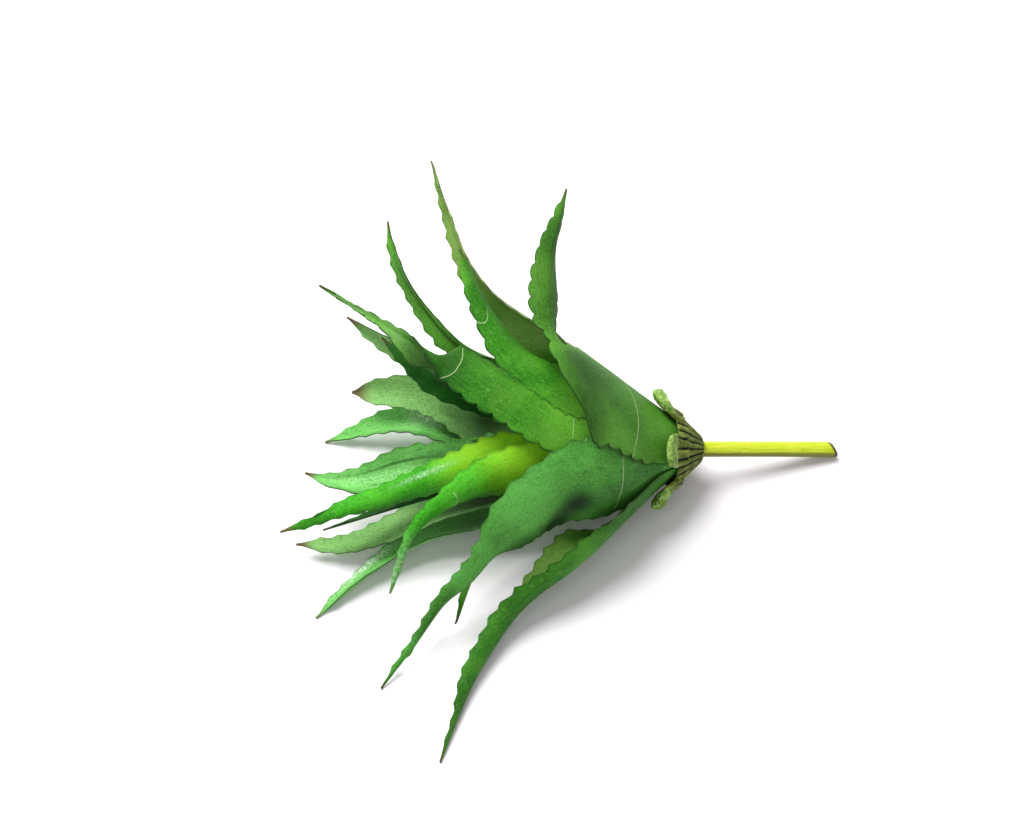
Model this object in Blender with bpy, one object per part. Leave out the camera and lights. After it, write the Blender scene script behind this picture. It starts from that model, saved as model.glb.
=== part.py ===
# Artificial aloe rosette on a short stem, lying on its side.
# Toothed channelled leaves grow in four rings round one axis and open out of a ribbed calyx.
# Metres, +Z up. The stem end and the tips of the lowest leaves touch the surface at z = 0.

import math
import random

import bmesh
import bpy
from mathutils import Quaternion, Vector

MM = 0.001
SMOOTH_ANGLE = math.radians(50.0)

# The axis runs from the stem joint towards the leaf tips.
AXIS_RISE = 13.8
AXIS_TURN = 8.6
JOINT = (-57.0, -8.8, 16.9)

# Leaf sheet
SHEET = 0.8
TIP_HALF_WIDTH = 0.7
TOOTH_PITCH = 7.4
TOOTH_DEPTH = 1.9

# Stem: along the axis and radius.
# Past the calyx floor it goes on inside as the part that bears the leaves.
STEM_SIDES = 20
STEM_PROFILE = [(-59.0, 0.0), (-59.0, 2.8), (-58.3, 3.25), (-30.0, 3.15), (3.0, 3.2), (4.0, 3.6),
                (5.4, 3.6), (9.4, 3.4), (13.8, 3.1), (18.2, 2.9), (26.0, 2.5), (28.0, 0.0)]

# Calyx: along the axis and radius, from the stem over the outside to the mouth and back inside.
RIBS = 24
RIB_DEPTH = 0.55
CUP_PROFILE = [(0.6, 3.55), (0.4, 5.0), (2.4, 6.9), (5.0, 9.5), (8.0, 12.2), (11.4, 14.6), (14.0, 16.0),
               (14.4, 15.0), (11.4, 13.0), (8.2, 10.6), (5.6, 8.0), (3.8, 5.6), (3.2, 3.55)]

# Sepals: azimuth, and how far each one still reaches out. The lowest is pressed back by the surface.
SEPALS = [(20, 1.0), (92, 1.0), (164, 1.0), (236, 0.55), (308, 1.0)]
SEPAL_PATH = [(10.4, 14.6), (13.8, 16.3), (16.8, 18.4), (19.2, 20.8), (20.9, 23.2), (21.0, 25.0)]
SEPAL_HALF_WIDTHS = [5.4, 6.6, 7.0, 6.6, 5.2, 2.6]
SEPAL_SHEET = 2.4

# Leaf greens: mid on most, lime on the young inner ones, pale where the inner face shows,
# dark in the shade.
LEAF_COLOURS = {
    "mid": (0.085, 0.33, 0.055),
    "lime": (0.16, 0.52, 0.04),
    "pale": (0.20, 0.40, 0.13),
    "dark": (0.03, 0.19, 0.025),
}

# Each ring of leaves starts on a cone round the axis: where along it and at what radius, the cone's
# slope, the greatest half width, the widest place, how fast the blade narrows from there, and the
# strips across it. step is how far a margin stands off its neighbour's.
RINGS = {
    "outer": dict(along=5.0, radius=5.4, slope=0.74, step=1.1,
                  half_width=20.0, widest=0.28, taper=1.45, strips=6),
    "second": dict(along=9.4, radius=5.2, slope=0.60, step=1.1,
                   half_width=15.0, widest=0.38, taper=0.9, strips=6),
    "third": dict(along=13.8, radius=4.8, slope=0.46, step=1.0,
                  half_width=12.5, widest=0.42, taper=0.8, strips=4),
    "heart": dict(along=18.2, radius=4.3, slope=0.22, step=0.5,
                  half_width=9.5, widest=0.45, taper=1.0, strips=4),
}

# Every leaf: ring, azimuth of its base, then points that its midrib passes through,
# each as millimetres along the axis, azimuth in degrees and distance from the axis.
# Azimuth 0 is the upper back, 90 the upper front, 180 the lower front, 270 the lower back.
# roll is half the angle that the blade's section turns through at its middle and at its tip,
# and curl is the stretch of its length over which the blade rolls up to it.
# wrap is where along its length the blade stops following the cone and where it is fully free.
# twist turns the blade about its midrib, widths are its half widths, and lean moves width over
# to the margin of lower azimuth: each is a row of (share of the length, value).
# size scales the ring's own width. lap says which way each margin steps at its neighbour's:
# outwards 1, inwards -1.
PLAIN = dict(roll=(55, 50), twist=((0.15, 0), (0.95, 0)), size=1.0, wrap=(0.16, 0.40), lap=(-1, 1),
             lean=((0, 0), (1, 0)), curl=(0.35, 0.65))
LEAVES = {
    "leaf_outer_1": dict(
        ring="outer", base=60, roll=(50, 60), twist=((0.5, 0), (0.95, 20)), lap=(1, 1), wrap=(0.44, 0.56),
        lean=((0.0, 0.0), (0.36, 0.0), (0.43, -0.22), (0.5, -0.1), (0.56, 0.0)),
        widths=((0.0, 1.6), (0.1, 13.5), (0.2, 21), (0.3, 25.5), (0.38, 26.5), (0.43, 24.5), (0.48, 13.5),
                (0.53, 3.8), (0.58, 3.0), (0.63, 6.0), (0.69, 7.6), (0.78, 6.6), (0.9, 2.8), (1.0, 0.7)),
        through=((47, 47, 35), (58, 46, 42), (66, 32, 46.5), (68.5, 15, 50.5), (68, 7, 62), (64.5, 0, 82),
                 (59.5, -3, 95), (55, -6, 107))),
    "leaf_outer_2": dict(
        ring="outer", base=118, roll=(45, 60), wrap=(0.34, 0.6), lap=(-1, -1),
        lean=((0.0, 0.0), (0.48, 0.0), (0.56, -0.18), (0.6, -0.46), (0.64, -0.56), (0.7, -0.42),
              (0.76, -0.36), (0.84, -0.4), (0.92, -0.3), (1.0, 0.0)),
        widths=((0.0, 1.6), (0.1, 8.6), (0.22, 15.8), (0.35, 18.5), (0.48, 18), (0.56, 12.8), (0.6, 9.8),
                (0.64, 7.9), (0.7, 6.2), (0.76, 4.4), (0.84, 2.7), (0.92, 1.6), (1.0, 0.7)),
        through=((47, 116, 34), (64.8, 114, 38.5), (83.3, 129.5, 42.5), (98.2, 145, 48), (107, 161, 56),
                 (114, 170, 63), (121, 174.5, 74), (129, 177, 86), (137, 178.2, 97.5))),
    "leaf_outer_3": dict(
        ring="outer", base=166, roll=(85, 70), lap=(1, 1), wrap=(0.16, 0.36), curl=(0.22, 0.38),
        twist=((0.24, 0), (0.36, -20), (0.44, -18), (0.56, 8), (0.66, 35), (0.8, 35), (0.95, 0)),
        widths=((0.0, 1.6), (0.07, 9.2), (0.15, 15.6), (0.28, 18), (0.36, 16.5), (0.44, 14), (0.52, 11),
                (0.66, 8), (0.8, 5.4), (0.92, 2.6), (1.0, 0.7)),
        through=((44, 165, 38), (62, 167, 52.5), (75.5, 168.8, 62.5), (86.5, 170, 73.2),
                 (100.8, 169.7, 93), (110.8, 168.8, 112.8), (119, 167.7, 129.5))),
    "leaf_outer_4": dict(
        ring="outer", base=233, roll=(26, 30), wrap=(0.26, 0.46), size=0.95, taper=1.0, lap=(-1, -1),
        through=((47, 254, 29.6), (85, 280, 38.5), (115, 283, 49.5), (143, 272, 63.5))),
    "leaf_outer_5": dict(
        ring="outer", base=290, size=0.55, roll=(25, 40), wrap=(0.35, 0.7),
        through=((41, 299, 30), (65, 307, 41), (91, 311, 53))),
    "leaf_outer_6": dict(
        ring="outer", base=346, roll=(65, 65), size=0.86, wrap=(0.26, 0.46),
        twist=((0.3, 0), (0.5, 20), (0.95, 20)),
        through=((46, 349, 33.5), (61.5, 349, 42), (77.5, 349, 55), (89.5, 351, 65), (100, 353, 81),
                 (107.5, 355, 100), (114, 357, 117.3))),
    "leaf_second_1": dict(
        ring="second", base=24, roll=(40, 50), twist=((0.15, 0), (0.5, -25), (0.95, -30)),
        through=((43, 26, 25), (64, 25, 29), (79, 18, 37.5), (89, 12, 48), (97, 6, 61.5), (104, 1, 81))),
    "leaf_second_2": dict(
        ring="second", base=80, roll=(45, 60), twist=((0.66, 0), (0.78, 150), (0.95, 170)),
        lean=((0.0, 0.0), (0.44, 0.0), (0.52, 0.08), (0.6, 0.2), (0.7, 0.42), (0.76, 0.3), (0.82, 0.0)),
        widths=((0.0, 1.6), (0.12, 6), (0.25, 7.5), (0.36, 8.6), (0.44, 9.6), (0.52, 10.4), (0.58, 11.4),
                (0.64, 11.4), (0.7, 9.6), (0.76, 5.4), (0.82, 2.8), (0.9, 1.5), (1.0, 0.7)),
        through=((40, 82, 24), (69, 79, 33), (95, 57, 40), (118, 37, 45), (133, 20, 48.5), (147, 6, 56),
                 (162, -2, 66))),
    "leaf_second_3": dict(
        ring="second", base=140, size=0.6,
        through=((52, 148, 25), (81, 162, 35), (97, 170, 47.5), (106, 177, 71.5))),
    "leaf_second_4": dict(
        ring="second", base=204, size=0.88, roll=(40, 55),
        through=((40, 206, 21), (82, 207, 32), (110, 210, 42), (133, 204, 54), (158, 197.2, 72.5))),
    "leaf_second_5": dict(
        shade="pale", ring="second", base=268, size=0.88, taper=0.5, roll=(30, 30),
        through=((40, 271, 21), (78, 285, 31), (105, 299, 45), (135, 294, 56))),
    "leaf_second_6": dict(
        ring="second", base=330, roll=(60, 60), size=0.7,
        through=((41.5, 332, 25), (64, 336, 30), (90, 339, 39.5), (102.5, 342, 47), (113, 344, 59),
                 (123, 347, 73), (128, 349, 87), (129.5, 350, 94))),
    "leaf_third_1": dict(
        shade="dark", ring="third", base=46, size=1.1, roll=(35, 45),
        through=((40, 46, 17), (89, 32, 24), (115, 22, 29), (129, 10, 38), (137, 3, 45))),
    "leaf_third_2": dict(
        shade="lime", ring="third", base=116, roll=(45, 60),
        widths=((0.0, 1.4), (0.15, 6.5), (0.3, 10.2), (0.42, 11.2), (0.55, 10), (0.63, 8), (0.7, 5.2),
                (0.76, 3.6), (0.82, 2.6), (0.9, 1.9), (1.0, 0.7)),
        through=((40, 114, 17), (67, 108, 23), (91, 112, 28), (114, 130, 32), (128, 150, 39),
                 (136, 168, 60))),
    "leaf_third_3": dict(
        shade="pale", ring="third", base=184, size=1.0, roll=(22, 25),
        twist=((0.15, 0), (0.5, -15), (0.75, -45), (0.95, -55)),
        lean=((0.0, 0.0), (0.6, 0.0), (0.8, 0.15), (1.0, 0.0)),
        through=((40, 182, 17), (84, 200, 22), (115, 212, 33.5), (142, 217, 49), (163, 221, 52.4))),
    "leaf_third_4": dict(
        ring="third", base=252, roll=(32, 40), lean=((0.0, 0.0), (0.7, 0.0), (0.85, 0.35), (1.0, 0.2)),
        widths=((0.0, 1.4), (0.15, 6), (0.3, 8), (0.5, 8), (0.6, 7.4), (0.7, 8.2), (0.78, 8.4),
                (0.86, 6.2), (0.93, 3.2), (1.0, 0.7)),
        through=((40, 256, 17), (80, 262, 24), (113, 255, 26), (138, 246, 30), (152, 246, 31),
                 (160, 252, 33))),
    "leaf_third_5": dict(
        shade="pale", ring="third", base=320, size=0.97, roll=(35, 45),
        through=((40, 318, 17), (89, 324, 31), (122, 330, 46.5), (144, 334, 59.5))),
    "leaf_heart_1": dict(
        shade="lime", ring="heart", base=100, size=1.0,
        lean=((0.0, 0.0), (0.72, 0.0), (0.87, 0.7), (1.0, 0.3)),
        through=((40, 100, 10), (81, 98, 12), (110, 136, 14), (138, 178, 21), (161, 194, 31),
                 (175, 202, 37))),
    "leaf_heart_2": dict(
        shade="dark", ring="heart", base=190, size=0.8,
        through=((40, 190, 10), (85, 200, 13), (117, 207, 24), (155, 213, 40))),
    "leaf_heart_3": dict(
        shade="lime", ring="heart", base=280, size=0.7,
        through=((40, 280, 10), (67, 284, 11), (94, 283, 15))),
    "leaf_heart_4": dict(
        shade="lime", ring="heart", base=10, size=0.8, through=((40, 10, 10), (70, 10, 13), (105, 5, 20))),
}


def clear_scene():
    for item in list(bpy.data.objects):
        bpy.data.objects.remove(item, do_unlink=True)


def axis_vectors():
    """The axis, the direction of azimuth 0 and the direction of azimuth 90."""
    rise = math.radians(AXIS_RISE)
    turn = math.radians(AXIS_TURN)
    along = Vector((-math.cos(rise) * math.cos(turn), -math.cos(rise) * math.sin(turn), math.sin(rise)))
    up = Vector((0.0, 1.0, 0.625))
    up = (up - along * up.dot(along)).normalized()
    near = up.cross(along)
    return along, up, near.normalized()


ALONG, UP, NEAR = axis_vectors()


def rosette(along, azimuth, radius):
    """World position of a point given along the axis, by azimuth in radians and by radius, all in mm."""
    outward = UP * math.cos(azimuth) + NEAR * math.sin(azimuth)
    return Vector(JOINT) + ALONG * along + outward * radius


def resting(point):
    """The same place in metres, pressed flat where it would reach below the surface."""
    return Vector((point.x * MM, point.y * MM, max(point.z, 0.0) * MM))


def polar(point):
    """The reverse of rosette()."""
    arm = point - Vector(JOINT)
    along = arm.dot(ALONG)
    return along, math.atan2(arm.dot(NEAR), arm.dot(UP)), (arm - ALONG * along).length


def smooth(value, low, high):
    share = min(max((value - low) / (high - low), 0.0), 1.0)
    return share * share * (3.0 - 2.0 * share)


def curve_through(points, count):
    """Evenly spaced places on a smooth curve through the points."""
    ends = [points[0] * 2 - points[1]] + points + [points[-1] * 2 - points[-2]]
    dense = []
    for k in range(len(points) - 1):
        a, b, c, d = ends[k:k + 4]
        t1 = (b - a).length ** 0.5
        t2 = t1 + (c - b).length ** 0.5
        t3 = t2 + (d - c).length ** 0.5
        for step in range(24):
            t = t1 + (t2 - t1) * step / 24
            ab = a * ((t1 - t) / t1) + b * (t / t1)
            bc = b * ((t2 - t) / (t2 - t1)) + c * ((t - t1) / (t2 - t1))
            cd = c * ((t3 - t) / (t3 - t2)) + d * ((t - t2) / (t3 - t2))
            abc = ab * ((t2 - t) / t2) + bc * (t / t2)
            bcd = bc * ((t3 - t) / (t3 - t1)) + cd * ((t - t1) / (t3 - t1))
            dense.append(abc * ((t2 - t) / (t2 - t1)) + bcd * ((t - t1) / (t2 - t1)))
    dense.append(points[-1])
    lengths = [0.0]
    for k in range(1, len(dense)):
        lengths.append(lengths[-1] + (dense[k] - dense[k - 1]).length)
    places = []
    k = 0
    for step in range(count + 1):
        want = lengths[-1] * step / count
        while k < len(dense) - 2 and lengths[k + 1] < want:
            k += 1
        share = (want - lengths[k]) / (lengths[k + 1] - lengths[k])
        places.append(dense[k].lerp(dense[k + 1], min(max(share, 0.0), 1.0)))
    return places, lengths[-1]


def frames_along(places):
    """Tangent and outward normal at every place, carried along without turning."""
    frames = []
    normal = None
    for k, place in enumerate(places):
        tangent = (places[min(k + 1, len(places) - 1)] - places[max(k - 1, 0)]).normalized()
        if normal is None:
            _, azimuth, _ = polar(place)
            normal = UP * math.cos(azimuth) + NEAR * math.sin(azimuth)
        normal = (normal - tangent * normal.dot(tangent)).normalized()
        frames.append((tangent, normal.copy()))
    return frames


def along_blade(pairs, share):
    """A value on a smooth line through the given ones, each with its share of the blade's length."""
    if share <= pairs[0][0]:
        return pairs[0][1]
    for k in range(len(pairs) - 1):
        at, value = pairs[k]
        next_at, next_value = pairs[k + 1]
        if share <= next_at:
            before = pairs[max(k - 1, 0)]
            after = pairs[min(k + 2, len(pairs) - 1)]
            run = next_at - at
            part = (share - at) / run
            lead = (next_value - before[1]) / (next_at - before[0]) * run
            trail = (after[1] - value) / (after[0] - at) * run
            square = part * part
            cube = square * part
            return (value * (2 * cube - 3 * square + 1) + lead * (cube - 2 * square + part)
                    + next_value * (3 * square - 2 * cube) + trail * (cube - square))
    return pairs[-1][1]


def blade_width(share, leaf):
    """Half width of the blade: its own line of widths, or a broad wrapping base and then a long taper."""
    if "widths" in leaf:
        return along_blade(leaf["widths"], share)
    widest = leaf["widest"]
    base = leaf["radius"] * 0.30
    full = leaf["half_width"] * leaf["size"]
    if share < widest:
        return base + (full - base) * math.sin(math.pi / 2 * share / widest)
    rest = (1.0 - share) / (1.0 - widest)
    return TIP_HALF_WIDTH + (full - TIP_HALF_WIDTH) * rest ** leaf["taper"]


def leaf_mesh(name):
    ring = RINGS[LEAVES[name]["ring"]]
    leaf = {**PLAIN, **ring, **LEAVES[name]}
    chance = random.Random(name)
    base = math.radians(leaf["base"])
    second = ring["along"] + 13.0
    points = [rosette(ring["along"], base, ring["radius"]),
              rosette(second, base, ring["radius"] + 13.0 * ring["slope"])]
    for along, azimuth, radius in leaf["through"]:
        points.append(rosette(along, math.radians(azimuth), radius))
    _, length = curve_through(points, 40)
    rows = max(12, round(length / TOOTH_PITCH))
    places, length = curve_through(points, rows)
    frames = frames_along(places)
    strips = ring["strips"]

    grid = []
    for k, place in enumerate(places):
        share = k / rows
        tangent, normal = frames[k]
        along, azimuth, radius = polar(place)
        half = blade_width(share, leaf)
        turn = Quaternion(tangent, math.radians(along_blade(leaf["twist"], share)))
        outward = turn @ normal
        side = tangent.cross(outward)
        roll_mid, roll_tip = leaf["roll"]
        roll = math.radians(roll_mid + (roll_tip - roll_mid) * smooth(share, 0.5, 0.9))
        wrap = 0.8 * half / radius
        roll = wrap + (roll - wrap) * smooth(share, *leaf["curl"])
        roll = min(roll, half / 1.1)
        bend = half / roll
        lean = along_blade(leaf["lean"], share)
        free = smooth(share, *leaf["wrap"])
        row = []
        for j in range(strips + 1):
            across = 2.0 * j / strips - 1.0
            across *= 1.0 + (lean if across > 0 else -lean)
            angle = across * roll
            loose = place + side * (bend * math.sin(angle)) - outward * (bend * (1.0 - math.cos(angle)))
            step = abs(across) * leaf["lap"][0 if across < 0 else 1] * ring["step"]
            wrapped = rosette(along, azimuth - across * half / radius, radius + step)
            row.append(wrapped.lerp(loose, free))
        grid.append(row)

    def facing(k, j):
        down = grid[min(k + 1, rows)][j] - grid[max(k - 1, 0)][j]
        over = grid[k][min(j + 1, strips)] - grid[k][max(j - 1, 0)]
        return over.cross(down).normalized()

    mesh = bmesh.new()
    half_sheet = SHEET / 2
    tops = []
    unders = []
    for k in range(rows + 1):
        top_row = []
        under_row = []
        for j in range(strips + 1):
            lift = facing(k, j) * half_sheet
            top_row.append(mesh.verts.new(resting(grid[k][j] - lift)))
            under_row.append(mesh.verts.new(resting(grid[k][j] + lift)))
        tops.append(top_row)
        unders.append(under_row)

    def triangle(a, b, c):
        mesh.faces.new((a, b, c))

    for k in range(rows):
        for j in range(strips):
            a, b, c, d = tops[k][j], tops[k][j + 1], tops[k + 1][j + 1], tops[k + 1][j]
            triangle(a, b, c)
            triangle(a, c, d)
            a, b, c, d = unders[k][j], unders[k][j + 1], unders[k + 1][j + 1], unders[k + 1][j]
            triangle(a, c, b)
            triangle(a, d, c)

    for j, inner in ((0, 1), (strips, strips - 1)):
        for k in range(rows):
            share = (k + 0.5) / rows
            first = (tops[k][j], unders[k][j])
            last = (tops[k + 1][j], unders[k + 1][j])
            flip = j == strips
            if share < 0.2 or k >= rows - 1:
                rim(mesh, first, last, flip)
                continue
            out = ((grid[k][j] - grid[k][inner]) + (grid[k + 1][j] - grid[k + 1][inner])).normalized()
            run = grid[k + 1][j] - grid[k][j]
            depth = TOOTH_DEPTH * (0.45 + 0.55 * smooth(1.0 - share, 0.0, 0.6)) * chance.uniform(0.8, 1.2)
            lift = (facing(k, j) + facing(k + 1, j)).normalized() * half_sheet
            point = grid[k][j] + run * chance.uniform(0.55, 0.75) + out * depth
            apex = (mesh.verts.new(resting(point - lift)), mesh.verts.new(resting(point + lift)))
            rim(mesh, first, apex, flip)
            rim(mesh, apex, last, flip)
            if flip:
                triangle(first[0], apex[0], last[0])
                triangle(first[1], last[1], apex[1])
            else:
                triangle(first[0], last[0], apex[0])
                triangle(first[1], apex[1], last[1])
    for j in range(strips):
        triangle(tops[0][j], unders[0][j], unders[0][j + 1])
        triangle(tops[0][j], unders[0][j + 1], tops[0][j + 1])
        triangle(tops[rows][j], unders[rows][j + 1], unders[rows][j])
        triangle(tops[rows][j], tops[rows][j + 1], unders[rows][j + 1])
    return mesh


def rim(mesh, first, last, flip):
    """Two triangles that close the cut edge between the faces of the sheet."""
    a, b = first
    d, c = last
    if flip:
        mesh.faces.new((a, b, c))
        mesh.faces.new((a, c, d))
    else:
        mesh.faces.new((a, c, b))
        mesh.faces.new((a, d, c))


def lathe(profile, sides, ripple=0.0, ripple_from=0, ripple_to=0):
    """A closed turned body round the axis; the ripple makes lengthwise ribs between two profile points."""
    mesh = bmesh.new()
    rings = []
    for k, (along, radius) in enumerate(profile):
        if radius == 0.0:
            rings.append([mesh.verts.new(resting(rosette(along, 0.0, 0.0)))])
            continue
        circle = []
        for side in range(sides):
            swell = ripple if ripple_from <= k <= ripple_to and side % 2 else 0.0
            place = rosette(along, 2 * math.pi * side / sides, radius - swell)
            circle.append(mesh.verts.new(resting(place)))
        rings.append(circle)
    count = len(rings)
    for k in range(count):
        here = rings[k]
        after = rings[(k + 1) % count]
        if len(here) == 1 and len(after) == 1:
            continue
        for side in range(sides):
            step = (side + 1) % sides
            if len(here) == 1:
                mesh.faces.new((here[0], after[side], after[step]))
            elif len(after) == 1:
                mesh.faces.new((here[side], after[0], here[step]))
            else:
                mesh.faces.new((here[side], after[side], after[step]))
                mesh.faces.new((here[side], after[step], here[step]))
    bmesh.ops.recalc_face_normals(mesh, faces=mesh.faces)
    return mesh


def sepal_mesh(azimuth, reach):
    """One thick lobe of the calyx, flaring out from its mouth with its end curled back."""
    mesh = bmesh.new()
    steps = 4
    first_radius = SEPAL_PATH[1][1]
    outer = []
    inner = []
    for k, (along, radius) in enumerate(SEPAL_PATH):
        if k > 1:
            radius = first_radius + (radius - first_radius) * reach
        half = SEPAL_HALF_WIDTHS[k]
        before = SEPAL_PATH[max(k - 1, 0)]
        after = SEPAL_PATH[min(k + 1, len(SEPAL_PATH) - 1)]
        out = (after[1] - before[1]) * (reach if k > 1 else 1.0)
        slope = Vector((after[0] - before[0], out)).normalized()
        outer_row = []
        inner_row = []
        for j in range(steps + 1):
            across = 2.0 * j / steps - 1.0
            cupping = 0.9 * across * across * (1.0 if k > 1 else 0.0)
            angle = azimuth + across * half / radius
            place_along = along - cupping * slope.y
            place_radius = radius + cupping * slope.x
            lift = SEPAL_SHEET / 2
            face = rosette(place_along - slope.y * lift, angle, place_radius + slope.x * lift)
            back = rosette(place_along + slope.y * lift, angle, place_radius - slope.x * lift)
            outer_row.append(mesh.verts.new(face * MM))
            inner_row.append(mesh.verts.new(back * MM))
        outer.append(outer_row)
        inner.append(inner_row)
    count = len(outer)
    for k in range(count - 1):
        for j in range(steps):
            mesh.faces.new((outer[k][j], outer[k][j + 1], outer[k + 1][j + 1], outer[k + 1][j]))
            mesh.faces.new((inner[k][j], inner[k + 1][j], inner[k + 1][j + 1], inner[k][j + 1]))
        mesh.faces.new((outer[k][0], outer[k + 1][0], inner[k + 1][0], inner[k][0]))
        mesh.faces.new((outer[k][steps], inner[k][steps], inner[k + 1][steps], outer[k + 1][steps]))
    face = outer[count - 1]
    back = inner[count - 1]
    for j in range(steps):
        mesh.faces.new((outer[0][j], inner[0][j], inner[0][j + 1], outer[0][j + 1]))
        mesh.faces.new((face[j], face[j + 1], back[j + 1], back[j]))
    bmesh.ops.triangulate(mesh, faces=mesh.faces)
    return mesh


def material(name, colour, roughness):
    surface = bpy.data.materials.new(name)
    surface.use_nodes = True
    shader = surface.node_tree.nodes["Principled BSDF"]
    shader.inputs["Base Color"].default_value = (*colour, 1.0)
    shader.inputs["Roughness"].default_value = roughness
    shader.inputs["Metallic"].default_value = 0.0
    surface.diffuse_color = (*colour, 1.0)
    return surface


def add(name, mesh, surface, parent):
    data = bpy.data.meshes.new(name)
    bmesh.ops.recalc_face_normals(mesh, faces=mesh.faces)
    mesh.to_mesh(data)
    mesh.free()
    data.materials.append(surface)
    data.shade_smooth()
    data.set_sharp_from_angle(angle=SMOOTH_ANGLE)
    item = bpy.data.objects.new(name, data)
    bpy.context.scene.collection.objects.link(item)
    item.parent = parent
    return item


def build():
    clear_scene()
    root = bpy.data.objects.new("rosette_root", None)
    bpy.context.scene.collection.objects.link(root)
    lime = material("stem_lime", (0.62, 0.70, 0.05), 0.40)
    olive = material("calyx_olive", (0.16, 0.20, 0.05), 0.60)
    for name, leaf in LEAVES.items():
        surface = material(f"{name}_green", LEAF_COLOURS[leaf.get("shade", "mid")], 0.45)
        add(name, leaf_mesh(name), surface, root)
    add("stem", lathe(STEM_PROFILE, STEM_SIDES), lime, root)
    calyx = add("calyx", lathe(CUP_PROFILE, RIBS * 2, RIB_DEPTH, 1, 6), olive, root)
    for number, (azimuth, reach) in enumerate(SEPALS):
        lobe = add(f"calyx_lobe_{number}", sepal_mesh(math.radians(azimuth), reach), olive, root)
        lobe.hide_render = True
        lobe.display_type = "WIRE"
        join = calyx.modifiers.new(f"lobe_{number}", "BOOLEAN")
        join.operation = "UNION"
        join.solver = "EXACT"
        join.object = lobe
    bpy.context.view_layer.update()
    return root


def middle_of_base(root):
    """The centre of the whole piece seen from above, in metres."""
    corners = []
    for item in root.children:
        if not item.hide_render:
            whole = item.evaluated_get(bpy.context.evaluated_depsgraph_get())
            corners += [vertex.co for vertex in whole.data.vertices]
    across = [corner.x for corner in corners]
    deep = [corner.y for corner in corners]
    return Vector(((min(across) + max(across)) / 2, (min(deep) + max(deep)) / 2, 0.0))


rosette_root = build()
rosette_root.location = -middle_of_base(rosette_root)
SHIFT = tuple(rosette_root.location / MM)
bpy.context.view_layer.update()
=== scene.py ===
# Artificial aloe rosette on a short stem, lying on its side on a pale floor.
import math
import random

import bmesh
import bpy
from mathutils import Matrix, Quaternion, Vector, noise


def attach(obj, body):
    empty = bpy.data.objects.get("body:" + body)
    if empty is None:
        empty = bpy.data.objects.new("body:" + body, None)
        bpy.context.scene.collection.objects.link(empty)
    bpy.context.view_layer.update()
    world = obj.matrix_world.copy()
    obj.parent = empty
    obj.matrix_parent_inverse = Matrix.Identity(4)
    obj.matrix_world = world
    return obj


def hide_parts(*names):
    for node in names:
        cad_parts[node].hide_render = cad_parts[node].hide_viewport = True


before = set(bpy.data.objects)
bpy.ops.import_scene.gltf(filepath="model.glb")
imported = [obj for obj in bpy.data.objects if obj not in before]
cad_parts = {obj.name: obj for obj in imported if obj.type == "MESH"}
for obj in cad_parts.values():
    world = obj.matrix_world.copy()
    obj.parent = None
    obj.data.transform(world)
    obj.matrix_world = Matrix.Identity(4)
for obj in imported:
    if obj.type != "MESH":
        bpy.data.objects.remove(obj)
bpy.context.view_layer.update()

# Leaves of the outer ring: six broad toothed blades of thin moulded plastic, painted green by airbrush.
# Each is a single sheet, pushed by its base on the inner stem and bent over by hand, so that no two match.
# The tips of the lowest ones rest on the floor.

# All rings and the stem share one axis, tilted a little above the floor. A place is given in mm along it
# from the stem joint, by azimuth round it and by distance from it. Azimuth 0 is the upper back, 90 the
# upper front, 180 the lower front and 270 the lower back. All angles in the values are in degrees.
MM = 0.001
AXIS_RISE = 13.8
AXIS_TURN = 8.6
UPPER_BACK = Vector((0.0, 1.0, 0.625))
JOINT = Vector((57.4304, 25.3667, 16.9))


def axis_vectors():
    """The axis, the direction of azimuth 0 and the direction of azimuth 90."""
    rise = math.radians(AXIS_RISE)
    turn = math.radians(AXIS_TURN)
    along = Vector((-math.cos(rise) * math.cos(turn), -math.cos(rise) * math.sin(turn), math.sin(rise)))
    up = (UPPER_BACK - along * UPPER_BACK.dot(along)).normalized()
    return along, up, up.cross(along).normalized()


ALONG, UP, NEAR = axis_vectors()


def rosette(along, azimuth, radius):
    """World position in mm of a point given along the axis, by azimuth in radians and by radius."""
    outward = UP * math.cos(azimuth) + NEAR * math.sin(azimuth)
    return JOINT + ALONG * along + outward * radius


def polar(point):
    """The reverse of rosette(): how far along the axis a point is, its azimuth and its radius."""
    arm = point - JOINT
    along = arm.dot(ALONG)
    return along, math.atan2(arm.dot(NEAR), arm.dot(UP)), (arm - ALONG * along).length


def resting(point):
    """The same place in metres, pressed flat where it would reach below the floor."""
    return Vector((point.x * MM, point.y * MM, max(point.z, 0.0) * MM))


def smooth(value, low, high):
    """0 below low, 1 above high and a soft step between them."""
    share = min(max((value - low) / (high - low), 0.0), 1.0)
    return share * share * (3.0 - 2.0 * share)


# What a ring gives its leaves: its start along the axis and its radius there, the slope of the cone that
# their bases lie on, the step by which one margin passes the next, the greatest half width and its share of
# the length, how fast the blade narrows from there, and the strips of faces across it.
OUTER_RING = dict(
    along=5.0, radius=5.4, slope=0.74, step=1.1, half_width=20.0, widest=0.28, taper=1.45, strips=18)

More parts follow.
